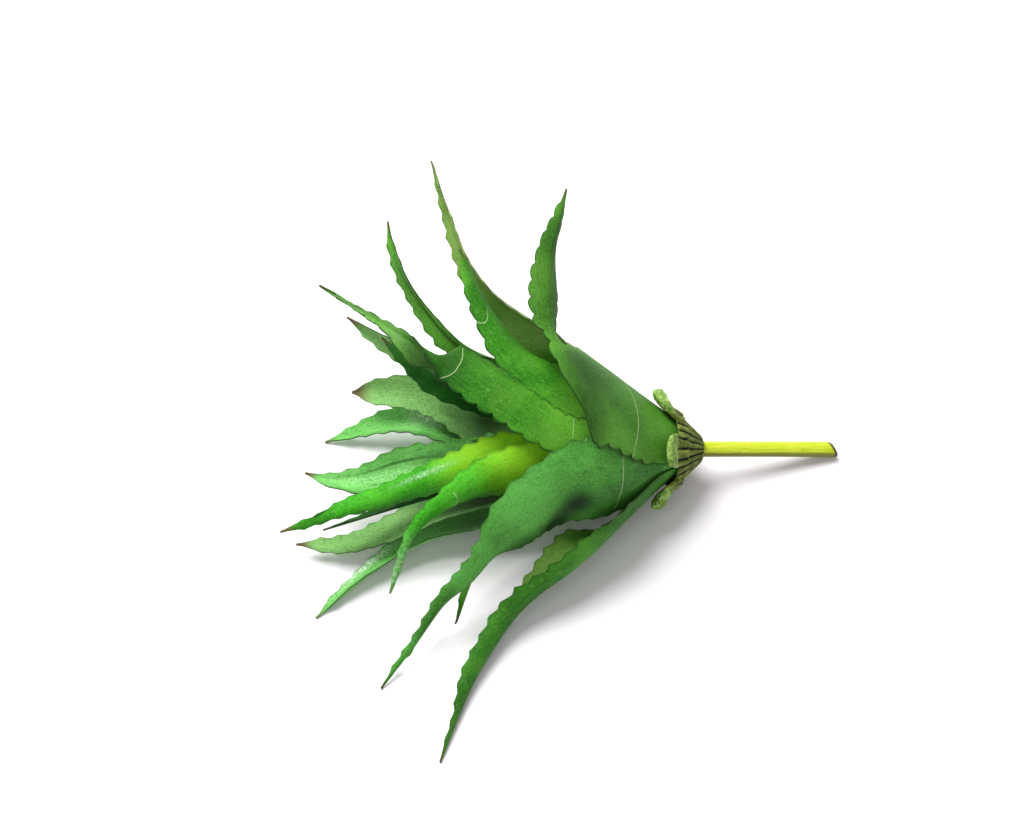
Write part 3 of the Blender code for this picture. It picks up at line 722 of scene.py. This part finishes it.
SECOND_RING = dict(
    along=9.4, radius=5.2, slope=0.60, step=1.1, half_width=15.0, widest=0.38, taper=0.9, strips=16)
SECOND_LEAVES = {
    "leaf_second_1": dict(
        hollow=0.4, base=24, roll=(40, 50), twist=((0.15, 0), (0.5, -25), (0.95, -30)),
        through=((43, 26, 25), (64, 25, 29), (79, 18, 37.5), (89, 12, 48), (97, 6, 61.5), (104, 1, 81))),
    "leaf_second_2": dict(
        base=80, roll=(45, 60), fold=0.8, hollow=0.1, inset=0.9,
        twist=((0.66, 0), (0.78, 150), (0.95, 170)),
        lean=((0.0, 0.0), (0.44, 0.0), (0.52, 0.08), (0.6, 0.2), (0.7, 0.42), (0.76, 0.3), (0.82, 0.0)),
        widths=((0.0, 1.6), (0.12, 6), (0.25, 7.5), (0.36, 8.6), (0.44, 9.6), (0.52, 10.4), (0.58, 11.4),
                (0.64, 11.4), (0.7, 9.6), (0.76, 5.4), (0.82, 2.8), (0.9, 1.5), (1.0, 0.7)),
        through=((40, 82, 24), (69, 79, 33), (95, 57, 40), (118, 37, 45), (133, 20, 48.5), (147, 6, 56),
                 (162, -2, 66))),
    "leaf_second_3": dict(
        base=140, size=0.6, through=((52, 148, 25), (81, 162, 35), (97, 170, 47.5), (106, 177, 71.5))),
    "leaf_second_4": dict(
        base=204, size=0.88, roll=(40, 55), fold=0.5,
        through=((40, 206, 21), (82, 207, 32), (110, 210, 42), (133, 204, 54), (158, 197.2, 72.5))),
    "leaf_second_5": dict(
        base=268, size=0.88, taper=0.5, roll=(30, 30),
        through=((40, 271, 21), (78, 285, 31), (105, 299, 45), (135, 294, 56))),
    "leaf_second_6": dict(
        base=330, roll=(60, 60), size=0.7, fold=0.9,
        through=((41.5, 332, 25), (64, 336, 30), (90, 339, 39.5), (102.5, 342, 47), (113, 344, 59),
                 (123, 347, 73), (128, 349, 87), (129.5, 350, 94))),
}
SECOND_MARKS = {
    "leaf_second_1": dict(
        shade="fresh", young=(0.34, 0.52, 0.55, "spring"), edge=0.8,
        arcs=((0.763, 0.080, -0.55, -1.0, 0.15),),
        dark=((0.0, 0.95, 1.5, 0.25, 0.25), (0.6, 0.70, 0.6, 0.12, 0.35), (0.6, 0.46, 0.6, 0.08, 0.25))),
    "leaf_second_2": dict(
        shade="fresh", young=(0.32, 0.50, 0.5, "spring"), edge=0.8,
        arcs=((0.636, 0.024, 0.0, -1.0, 0.8), (0.335, 0.0, 0.0, -0.55, 0.85)),
        dark=((0.0, 0.67, 2.4, 0.11, 0.75), (-1.0, 0.70, 0.6, 0.10, 0.7), (-1.0, 0.52, 0.10, 0.2, 0.6),
              (0.0, 0.75, 2.4, 0.06, 0.5), (0.0, 0.54, 2.4, 0.12, 0.3), (0.9, 0.58, 0.4, 0.12, 0.4))),
    "leaf_second_3": dict(shade="mid", dark=((0.0, 0.5, 1.6, 0.4, 0.5),)),
    "leaf_second_4": dict(
        shade="painted_lit", painted_highlight=((-0.75, 0.82, 0.5, 0.16, 0.9),), dark=((0.0, 0.5, 1.6, 0.2, 0.5),)),
    "leaf_second_5": dict(
        shade="pale", tip=7.0, dark=((0.0, 0.58, 2.0, 0.16, 0.9), (0.0, 0.70, 1.5, 0.10, 0.3))),
    "leaf_second_6": dict(shade="mid", dark=((0.1, 0.7, 0.3, 0.35, 0.6),)),
}
for leaf_name, second_leaf in SECOND_LEAVES.items():
    make_leaf(leaf_name, SECOND_RING, second_leaf, SECOND_MARKS[leaf_name])


# Leaves of the third ring: five slender blades of the same plastic, pushed on round the heart.
# They are painted lime and pale green, one of them in lighter greens as painted light and one in
# near-black green as painted shade. The front one is yellow-green at its root, and its thin tip bends out
# and down.

THIRD_RING = dict(
    along=13.8, radius=4.8, slope=0.46, step=1.0, half_width=12.5, widest=0.42, taper=0.8, strips=14)
THIRD_LEAVES = {
    "leaf_third_1": dict(
        base=46, size=1.1, roll=(35, 45),
        through=((40, 46, 17), (89, 32, 24), (115, 22, 29), (129, 10, 38), (137, 3, 45))),
    "leaf_third_2": dict(
        base=116, roll=(45, 60),
        widths=((0.0, 1.4), (0.15, 6.5), (0.3, 10.2), (0.42, 11.2), (0.55, 10), (0.63, 8), (0.7, 5.2),
                (0.76, 3.6), (0.82, 2.6), (0.9, 1.9), (1.0, 0.7)),
        through=((40, 114, 17), (67, 108, 23), (91, 112, 28), (114, 130, 32), (128, 150, 39),
                 (136, 168, 60))),
    "leaf_third_3": dict(
        base=184, size=1.0, roll=(22, 25),
        twist=((0.15, 0), (0.5, -15), (0.75, -45), (0.95, -55)),
        lean=((0.0, 0.0), (0.6, 0.0), (0.8, 0.15), (1.0, 0.0)),
        through=((40, 182, 17), (84, 200, 22), (115, 212, 33.5), (142, 217, 49), (163, 221, 52.4))),
    "leaf_third_4": dict(
        base=252, roll=(32, 40), fold=0.7,
        lean=((0.0, 0.0), (0.7, 0.0), (0.85, 0.35), (1.0, 0.2)),
        widths=((0.0, 1.4), (0.15, 6), (0.3, 8), (0.5, 8), (0.6, 7.4), (0.7, 8.2), (0.78, 8.4),
                (0.86, 6.2), (0.93, 3.2), (1.0, 0.7)),
        through=((40, 256, 17), (80, 262, 24), (113, 255, 26), (138, 246, 30), (152, 246, 31),
                 (160, 252, 33))),
    "leaf_third_5": dict(
        base=320, size=0.97, roll=(35, 45),
        through=((40, 318, 17), (89, 324, 31), (122, 330, 46.5), (144, 334, 59.5))),
}
THIRD_MARKS = {
    "leaf_third_1": dict(shade="dark", dark=((0.5, 0.78, 0.9, 0.16, 0.6),)),
    "leaf_third_2": dict(
        shade="lime", young=(0.44, 0.64, 0.80, "young"), arcs=((0.675, 0.020, 0.0, -1.0, 0.35),),
        painted_highlight=((0.0, 0.94, 3.0, 0.14, 0.35),), dark=((-0.9, 0.60, 0.6, 0.16, 0.6),),
        painted_light=((0.0, 0.9, 2.0, 0.15, 0.4),)),
    "leaf_third_3": dict(
        shade="pale", tip=6.0,
        dark=((-0.9, 0.60, 1.1, 0.17, 0.9), (0.0, 0.5, 3.0, 0.15, 0.8), (0.8, 0.78, 0.5, 0.3, 0.25))),
    "leaf_third_4": dict(
        shade="painted_lit", tip=4.0, painted_highlight=((0.1, 0.80, 0.5, 0.16, 0.15),),
        dark=((0.3, 0.60, 1.5, 0.13, 0.7), (-0.35, 0.74, 0.14, 0.2, 0.7), (0.95, 0.75, 0.3, 0.3, 0.4))),
    "leaf_third_5": dict(shade="pale", tip=6.0, dark=((0.0, 0.7, 1.4, 0.2, 0.6),)),
}
for leaf_name, third_leaf in THIRD_LEAVES.items():
    make_leaf(leaf_name, THIRD_RING, third_leaf, THIRD_MARKS[leaf_name])


# Leaves of the heart: four young blades close round the axis, three lime and one near-black as painted
# shade.
# They are the same moulded sheets, rolled into narrow troughs that hide the end of the inner stem.

HEART_RING = dict(
    along=18.2, radius=4.3, slope=0.22, step=0.5, half_width=9.5, widest=0.45, taper=1.0, strips=14)
HEART_LEAVES = {
    "leaf_heart_1": dict(
        base=100, size=1.0, lean=((0.0, 0.0), (0.72, 0.0), (0.87, 0.7), (1.0, 0.3)),
        through=((40, 100, 10), (81, 98, 12), (110, 136, 14), (138, 178, 21), (161, 194, 31),
                 (175, 202, 37))),
    "leaf_heart_2": dict(
        base=190, size=0.8,
        through=((40, 190, 10), (85, 200, 13), (117, 207, 24), (155, 213, 40))),
    "leaf_heart_3": dict(
        base=280, size=0.7, through=((40, 280, 10), (67, 284, 11), (94, 283, 15))),
    "leaf_heart_4": dict(
        base=10, size=0.8, through=((40, 10, 10), (70, 10, 13), (105, 5, 20))),
}
HEART_MARKS = {
    "leaf_heart_1": dict(
        shade="lime", young=(0.44, 0.63, 0.9, "young"), tip=6.0,
        dark=((-0.9, 0.72, 0.6, 0.25, 0.5), (0.0, 0.97, 2.0, 0.14, 0.35)),
        painted_highlight=((0.5, 0.62, 0.3, 0.12, 0.4),)),
    "leaf_heart_2": dict(shade="dark", dark=((0.0, 0.6, 3.0, 0.6, 1.0),)),
    "leaf_heart_3": dict(shade="lime"),
    "leaf_heart_4": dict(shade="lime"),
}
for leaf_name, heart_leaf in HEART_LEAVES.items():
    make_leaf(leaf_name, HEART_RING, heart_leaf, HEART_MARKS[leaf_name])


# The stem: a lime-yellow plastic rod with fine lengthwise grooves, cut off at a slant and brown at the cut.
# Its hidden upper part narrows towards the heart and carries the leaves, which are pushed on to it.

# The stem's places along the axis with their radii, from the cut end to the hidden top.
STEM_PROFILE = [
    (-59.0, 0.0), (-59.0, 1.6), (-58.9, 2.5), (-58.3, 3.05), (-57.2, 3.2), (-52.0, 3.2), (-45.0, 3.18),
    (-38.0, 3.15), (-30.0, 3.15), (-22.0, 3.15), (-14.0, 3.17), (-6.0, 3.2), (3.0, 3.2), (4.0, 3.6),
    (5.4, 3.6), (9.4, 3.4), (13.8, 3.1), (18.2, 2.9), (26.0, 2.5), (27.6, 1.6), (28.0, 0.0)]
STEM_RADIUS = 3.2
STEM_SIDES = 84

# The number and depth of the sharp grooves and of the slow waves round the stem, the slope of its cut and
# the stretch over which that dies out, and the stretch over which the brown of the cut does.
STEM_GROOVES = 11
STEM_GROOVE_DEPTH = 0.11
STEM_GROOVE_POWER = 6
STEM_WAVES = 5
STEM_WAVE_DEPTH = 0.05
SLANT = 0.55
SLANT_FROM_TO = (-58.0, -46.0)
CUT_BROWN_FROM_TO = (-57.4, -56.2)

# The layout of the stem's colours: a run of the axis that starts below the joint, taken as 0 to 1.
LAYOUT_BELOW = 60.0
LAYOUT_RUN = 100.0

STEM_RELIEF = 0.0003
STEM_SHEEN = 0.2
STEM_YELLOW = rgb(0.450, 0.560, 0.010)
STEM_PALE = rgb(0.600, 0.680, 0.055)
# Olive for dark streaks and blotches, and as painted shade on the underside.
STEM_OLIVE_AND_SHADE = rgb(0.110, 0.110, 0.018)
STEM_BROWN = rgb(0.060, 0.032, 0.022)


def stem_rod():
    """The rod as one closed mesh, grooved all round and slanting at its cut end."""
    rod = bmesh.new()
    lengths = rod.loops.layers.uv.new("blade")
    rings = []
    layout = {}
    for along, radius in STEM_PROFILE:
        circle = []
        for side in range(STEM_SIDES if radius > 0.0 else 1):
            azimuth = 2 * math.pi * side / STEM_SIDES
            sharp = max(0.0, math.cos(azimuth * STEM_GROOVES)) ** STEM_GROOVE_POWER
            slow = math.sin(azimuth * STEM_WAVES + 1.0)
            groove = STEM_GROOVE_DEPTH * sharp + STEM_WAVE_DEPTH * slow
            slanting = SLANT * (1.0 - smooth(along, *SLANT_FROM_TO))
            slant = slanting * (radius * math.cos(azimuth) + STEM_RADIUS)
            where = rosette(along + slant, azimuth, max(radius - groove * min(radius, 1.0), 0.0))
            corner = rod.verts.new(resting(where))
            layout[corner] = (side / STEM_SIDES, (along + LAYOUT_BELOW) / LAYOUT_RUN)
            circle.append(corner)
        rings.append(circle)
    for here, after in zip(rings, rings[1:]):
        for side in range(STEM_SIDES):
            step = (side + 1) % STEM_SIDES
            if len(here) == 1:
                face = rod.faces.new((here[0], after[side], after[step]))
            elif len(after) == 1:
                face = rod.faces.new((here[side], after[0], here[step]))
            else:
                face = rod.faces.new((here[side], after[side], after[step], here[step]))
            face.smooth = True
            for loop in face.loops:
                round_about, up_along = layout[loop.vert]
                if step == 0 and round_about < 0.5:
                    round_about += 1.0
                loop[lengths].uv = (round_about, up_along)
    bmesh.ops.recalc_face_normals(rod, faces=rod.faces)
    data = bpy.data.meshes.new("stem_rod")
    rod.to_mesh(data)
    rod.free()
    return data


def stem_finish():
    """Smooth lime-yellow plastic with pale streaks, painted shade in olive underneath, and brown at the cut.
    """
    surface, start, shader = new_finish("stem_lime_yellow")
    place = start.make("ShaderNodeUVMap", {"uv_map": "blade"}, {})
    round_about = place.part("X")
    along = place.part("Y") * LAYOUT_RUN - LAYOUT_BELOW
    spot = start.make("ShaderNodeTexCoord", {}, {}, "Object")
    streaks = start.make("ShaderNodeCombineXYZ", {}, {"X": round_about * 20.0, "Y": along * 0.06, "Z": 0.0})
    grain = streaks.cloudy(scale=1.6, detail=4.0, roughness=0.6)
    blotch = spot.cloudy(scale=160.0, detail=2.0)
    pebble = spot.cloudy(scale=700.0, detail=2.0)
    upward = start.make("ShaderNodeNewGeometry", {}, {}, "Normal").part("Z")
    colour = grain.between(0.35, 0.65).paint(STEM_YELLOW, STEM_PALE)
    # Painted shade: olive on the side of the rod that faces down.
    colour = ((1.0 - upward.between(0.15, 0.62)) * 0.85).paint(colour, STEM_OLIVE_AND_SHADE)
    colour = ((1.0 - grain.between(0.24, 0.36)) * 0.4).paint(colour, STEM_OLIVE_AND_SHADE)
    colour = (blotch.between(0.62, 0.74) * 0.25).paint(colour, STEM_OLIVE_AND_SHADE)
    cut = 1.0 - (along + blotch * 1.5).between(*CUT_BROWN_FROM_TO)
    colour = (cut * 0.95).paint(colour, STEM_BROWN)
    roughness = 0.30 + pebble * 0.2 + cut * 0.3
    height = grain * 0.8 + pebble * 0.2
    dress(surface, start, shader, colour, roughness, height, STEM_RELIEF)
    shader.inputs["Specular IOR Level"].default_value = STEM_SHEEN
    return surface


rod_data = stem_rod()
rod_data.materials.append(stem_finish())
stem_piece = bpy.data.objects.new("stem_rod", rod_data)
bpy.context.scene.collection.objects.link(stem_piece)
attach(stem_piece, "root")
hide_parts("stem")


# The calyx: a conical cup of thicker olive plastic that hides the bases of the leaves and grips the stem.
# Rounded ribs run down it and draw together at the stem. Five stubby sepals flare from its mouth and curl
# back.

# The cup's outline, outside and inside: places along the axis with their radii.
CUP_OUTSIDE = [
    (0.3, 3.62), (0.2, 4.6), (0.9, 5.9), (2.4, 7.2), (5.0, 9.6), (8.0, 12.2), (11.4, 14.6), (14.0, 16.0)]
CUP_INSIDE = [(14.4, 15.0), (11.4, 13.0), (8.2, 10.6), (5.6, 8.0), (3.8, 5.6), (3.2, 3.62)]
RIBS = 24

# Each sepal's azimuth, how far out it reaches and how plump it is. Their common middle line is given as
# places along the axis with their radii, with the half widths at those places, the step from which they
# flare, their thickness, and how far their margins are cupped and thinned.
SEPALS = [(20, 1.0, 1.9), (92, 0.9, 1.0), (164, 1.0, 1.9), (236, 0.55, 1.0), (308, 1.0, 1.2)]
SEPAL_PATH = [(10.4, 14.6), (13.8, 16.3), (16.8, 18.4), (19.2, 20.8), (20.9, 23.2), (21.0, 25.0)]
SEPAL_HALF_WIDTHS = [5.4, 6.4, 6.8, 6.7, 6.0, 4.2]
FLARE_STEP = 1
SEPAL_SHEET = 2.4
SEPAL_CUPPING = 1.0
SEPAL_MARGIN_THINS = 0.55

# The size of the fused skin's faces, and how much and how often it is softened.
SKIN_STEP = 0.38
SKIN_SOFTENING = 0.5
SKIN_PASSES = 4

# How deep the grooves between the ribs, the wrinkles and the lumps of the lobes are pressed in. The grooves
# have a width as a share of a rib, wander a little, and start and fade over two stretches of the axis.
# The cup turns into the lobes over a stretch of the radius.
GROOVE_DEPTH = 0.80
WRINKLE_DEPTH = 0.20
LUMP_DEPTH = 0.16
GROOVE_WIDTH = 0.55
GROOVE_WANDERS = 0.05
GROOVES_START = (0.2, 1.5)
GROOVES_FADE = (11.0, 15.0)
GROOVES_FADE_BY = 0.3
LOBE_FROM_TO = (18.2, 20.2)

CALYX_RELIEF = 0.0005
CALYX_SHEEN = 0.15
CALYX_OLIVE = rgb(0.075, 0.110, 0.012)
# Near-black painted shade for the grooves and wrinkles.
CALYX_GROOVE_SHADE = rgb(0.010, 0.012, 0.003)
CALYX_LIGHT = rgb(0.200, 0.260, 0.040)
SEPAL_GREEN = rgb(0.130, 0.270, 0.030)
SEPAL_PALE = rgb(0.300, 0.470, 0.120)


def smooth_line(values, place):
    """A value on a smooth line through the given ones, at a place counted in steps."""
    low = min(int(place), len(values) - 2)
    part = place - low
    a = values[max(low - 1, 0)]
    b = values[low]
    c = values[low + 1]
    d = values[min(low + 2, len(values) - 1)]
    return b + 0.5 * part * (c - a + part * (2 * a - 5 * b + 4 * c - d + part * (3 * (b - c) + d - a)))


def cup_lathe(body):
    """The cup, turned round the axis from its outline."""
    profile = CUP_OUTSIDE + CUP_INSIDE
    sides = RIBS * 4
    rings = []
    for along, radius in profile:
        circle = []
        for side in range(sides):
            circle.append(body.verts.new(rosette(along, 2 * math.pi * side / sides, radius)))
        rings.append(circle)
    for k, here in enumerate(rings):
        after = rings[(k + 1) % len(rings)]
        for side in range(sides):
            step = (side + 1) % sides
            body.faces.new((here[side], after[side], after[step], here[step]))


def sepal_tongue(body, azimuth, reach, plump):
    """One thick lobe, built as a closed sheet with a rounded end and its margins cupped."""
    steps = 10
    rows = 20
    last = len(SEPAL_PATH) - 1
    flare_radius = SEPAL_PATH[FLARE_STEP][1]
    outer = []
    inner = []
    for k in range(rows + 1):
        place = last * k / rows
        along = smooth_line([spot[0] for spot in SEPAL_PATH], place)
        radius = smooth_line([spot[1] for spot in SEPAL_PATH], place)
        after = min(place + 0.1, last)
        after_along = smooth_line([spot[0] for spot in SEPAL_PATH], after)
        after_radius = smooth_line([spot[1] for spot in SEPAL_PATH], after)
        if k == rows:
            after_along = along + 0.01
            after_radius = radius + 0.2
        half = smooth_line(SEPAL_HALF_WIDTHS, place)
        if place > FLARE_STEP:
            radius = flare_radius + (radius - flare_radius) * reach
            after_radius = flare_radius + (after_radius - flare_radius) * reach
        slope = Vector((after_along - along, after_radius - radius)).normalized()
        thick = SEPAL_SHEET / 2 * (1.0 + (plump - 1.0) * smooth(place, FLARE_STEP, 3.0))
        outer_row = []
        inner_row = []
        for j in range(steps + 1):
            across = 2.0 * j / steps - 1.0
            cupping = SEPAL_CUPPING * across * across * smooth(place, FLARE_STEP, 2.5)
            angle = azimuth + across * half / radius
            lift = thick * math.sqrt(max(1.0 - SEPAL_MARGIN_THINS * across ** 4, 0.0))
            middle_along = along - cupping * slope.y
            middle_radius = radius + cupping * slope.x
            outer_row.append(body.verts.new(rosette(middle_along - slope.y * lift, angle,
                                                    middle_radius + slope.x * lift)))
            inner_row.append(body.verts.new(rosette(middle_along + slope.y * lift, angle,
                                                    middle_radius - slope.x * lift)))
        outer.append(outer_row)
        inner.append(inner_row)
    for k in range(rows):
        for j in range(steps):
            body.faces.new((outer[k][j], outer[k][j + 1], outer[k + 1][j + 1], outer[k + 1][j]))
            body.faces.new((inner[k][j], inner[k + 1][j], inner[k + 1][j + 1], inner[k][j + 1]))
        body.faces.new((outer[k][0], outer[k + 1][0], inner[k + 1][0], inner[k][0]))
        body.faces.new((outer[k][steps], inner[k][steps], inner[k + 1][steps], outer[k + 1][steps]))
    for j in range(steps):
        body.faces.new((outer[0][j], inner[0][j], inner[0][j + 1], outer[0][j + 1]))
        body.faces.new((outer[rows][j], outer[rows][j + 1], inner[rows][j + 1], inner[rows][j]))


def fused(body, name):
    """The cup and its lobes run together into one skin of fine even faces, then softened."""
    bmesh.ops.recalc_face_normals(body, faces=body.faces)
    rough = bpy.data.meshes.new(f"{name}_rough")
    body.to_mesh(rough)
    body.free()
    holder = bpy.data.objects.new(f"{name}_rough", rough)
    bpy.context.scene.collection.objects.link(holder)
    skin = holder.modifiers.new("skin", "REMESH")
    skin.mode = "VOXEL"
    skin.voxel_size = SKIN_STEP
    soften = holder.modifiers.new("soften", "SMOOTH")
    soften.factor = SKIN_SOFTENING
    soften.iterations = SKIN_PASSES
    whole = holder.evaluated_get(bpy.context.evaluated_depsgraph_get())
    data = bpy.data.meshes.new_from_object(whole)
    bpy.data.objects.remove(holder, do_unlink=True)
    return data


def carve(data):
    """Presses grooves and wrinkles into the skin, and notes the painted shade that each place gets in
    them and how far on a lobe it is.
    """
    normals = [tuple(vertex.normal) for vertex in data.vertices]
    groove_shades = []
    reaches = []
    for vertex, normal in zip(data.vertices, normals):
        spot = vertex.co.copy()
        along, azimuth, radius = polar(spot)
        outward = (spot - JOINT - ALONG * along).normalized()
        facing_out = smooth(Vector(normal).dot(outward), 0.0, 0.4)
        lobe = smooth(radius, *LOBE_FROM_TO)
        wobble = GROOVE_WANDERS * noise.noise(Vector((azimuth * 2.0, along * 0.25, 0.0)))
        phase = (azimuth + wobble) * RIBS / (2 * math.pi)
        gap = abs(phase - round(phase)) * 2.0
        groove = (1.0 - smooth(gap, 0.0, GROOVE_WIDTH)) * smooth(along, *GROOVES_START)
        groove *= 1.0 - GROOVES_FADE_BY * smooth(along, *GROOVES_FADE)
        wrinkle = noise.noise(Vector((azimuth * 16.0, along * 0.22, 5.0)))
        lumps = noise.noise(spot * 0.55)
        pressed = GROOVE_DEPTH * groove * facing_out + WRINKLE_DEPTH * wrinkle * facing_out
        depth = pressed * (1.0 - lobe) - LUMP_DEPTH * lumps * lobe
        vertex.co = resting(spot - Vector(normal) * depth)
        # Painted shade: how dark the grooves and the pressed-in wrinkles are painted.
        dark = groove * facing_out * (1.0 - lobe) + 0.25 * max(wrinkle, 0.0)
        groove_shades.append(min(max(dark, 0.0), 1.0))
        reaches.append(lobe)
    groove_shade_note = data.attributes.new("groove", "FLOAT", "POINT")
    groove_shade_note.data.foreach_set("value", groove_shades)
    lobe_note = data.attributes.new("lobe", "FLOAT", "POINT")
    lobe_note.data.foreach_set("value", reaches)


def calyx_finish():
    """Blotched olive plastic with painted shade in the grooves, fleshy green lobes and a crusty grain."""
    surface, start, shader = new_finish("calyx_olive")
    groove = mesh_note(start, "groove")
    lobe = mesh_note(start, "lobe")
    spot = start.make("ShaderNodeTexCoord", {}, {}, "Object")
    blotch = spot.cloudy(scale=260.0, detail=4.0, roughness=0.65)
    pebble = spot.cloudy(scale=900.0, detail=3.0)
    crust = start.make("ShaderNodeTexVoronoi", {"feature": "F1"}, {"Vector": spot, "Scale": 900.0})
    colour = blotch.between(0.38, 0.66).paint(CALYX_OLIVE, CALYX_LIGHT)
    # Painted shade in the grooves and wrinkles.
    colour = groove.between(0.15, 0.75).paint(colour, CALYX_GROOVE_SHADE)
    flesh = blotch.between(0.40, 0.62).paint(SEPAL_GREEN, SEPAL_PALE)
    flesh = ((1.0 - pebble.between(0.34, 0.52)) * 0.75).paint(flesh, CALYX_OLIVE)
    colour = lobe.between(0.25, 0.75).paint(colour, flesh)
    roughness = 0.42 + pebble * 0.25 + groove * 0.15
    height = pebble * 0.5 + crust * 0.3 + blotch * 0.2
    dress(surface, start, shader, colour, roughness, height, CALYX_RELIEF)
    shader.inputs["Specular IOR Level"].default_value = CALYX_SHEEN
    return surface


cup = bmesh.new()
cup_lathe(cup)
for sepal_azimuth, sepal_reach, sepal_plump in SEPALS:
    sepal_tongue(cup, math.radians(sepal_azimuth), sepal_reach, sepal_plump)
cup_data = fused(cup, "calyx_cup")
carve(cup_data)
cup_data.materials.clear()
cup_data.materials.append(calyx_finish())
for polygon in cup_data.polygons:
    polygon.use_smooth = True
calyx_piece = bpy.data.objects.new("calyx_cup", cup_data)
bpy.context.scene.collection.objects.link(calyx_piece)
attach(calyx_piece, "root")
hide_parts("calyx")


# The floor, a plain pale sheet, with soft studio light from the upper left and a wide pale surround.
# The camera looks down steeply along the photograph's line of sight through a long lens.

FLOOR_PALE = rgb(0.875, 0.852, 0.875)
FLOOR_GREY = rgb(0.9, 0.9, 0.9)
FLOOR_SIZE = 6.0
FLOOR_RELIEF = 0.0001
bpy.ops.mesh.primitive_plane_add(size=FLOOR_SIZE, location=(0.0, 0.0, 0.0))
floor = bpy.context.object
floor.name = "floor"
floor_surface, floor_start, floor_shader = new_finish("floor_pale")
floor_mottle = floor_start.make("ShaderNodeTexCoord", {}, {}, "Object").cloudy(scale=3.0, detail=1.0)
floor_colour = (floor_mottle * 0.1).paint(FLOOR_PALE, FLOOR_GREY)
floor_roughness = 0.7 + floor_mottle * 0.05
dress(floor_surface, floor_start, floor_shader, floor_colour, floor_roughness, floor_mottle, FLOOR_RELIEF)
floor.data.materials.append(floor_surface)

SURROUND_PALE = rgb(1.0, 0.955, 1.0)
SURROUND_STRENGTH = 0.44
world = bpy.data.worlds.new("surround")
world.use_nodes = True
surround = world.node_tree.nodes["Background"]
surround.inputs["Color"].default_value = SURROUND_PALE
surround.inputs["Strength"].default_value = SURROUND_STRENGTH
bpy.context.scene.world = world


def soft_light(name, towards, distance, size, power):
    """A round lamp that faces the origin, with its distance and size in metres and its power in watts."""
    lamp = bpy.data.lights.new(name, "AREA")
    lamp.shape = "DISK"
    lamp.size = size
    lamp.energy = power
    holder = bpy.data.objects.new(name, lamp)
    bpy.context.scene.collection.objects.link(holder)
    direction = Vector(towards).normalized()
    holder.location = direction * distance
    holder.rotation_euler = direction.to_track_quat("Z", "Y").to_euler()


soft_light("key_light", towards=(-0.30, 0.36, 0.90), distance=1.6, size=1.2, power=39.0)
soft_light("fill_light", towards=(-0.2, -0.7, 1.0), distance=2.0, size=1.2, power=5.0)

# The camera: its lens in mm, the height of its sight above the horizon in degrees, and in metres the width
# that it takes in where it aims, that place, and how far it sees.
LENS = 300.0
SIGHT_HEIGHT = 58.0
IMAGE_WIDTH = 0.4198
AIM = Vector((-0.02047, 0.03605, 0.030))
FARTHEST = 20.0
sight = math.radians(SIGHT_HEIGHT)
toward_camera = Vector((0.0, -math.cos(sight), math.sin(sight)))
camera_data = bpy.data.cameras.new("camera")
camera_data.lens = LENS
camera_data.clip_end = FARTHEST
camera = bpy.data.objects.new("camera", camera_data)
bpy.context.scene.collection.objects.link(camera)
camera.location = AIM + toward_camera * (IMAGE_WIDTH * LENS / camera_data.sensor_width)
camera.rotation_euler = toward_camera.to_track_quat("Z", "Y").to_euler()
bpy.context.scene.camera = camera
bpy.context.scene.view_settings.view_transform = "Standard"
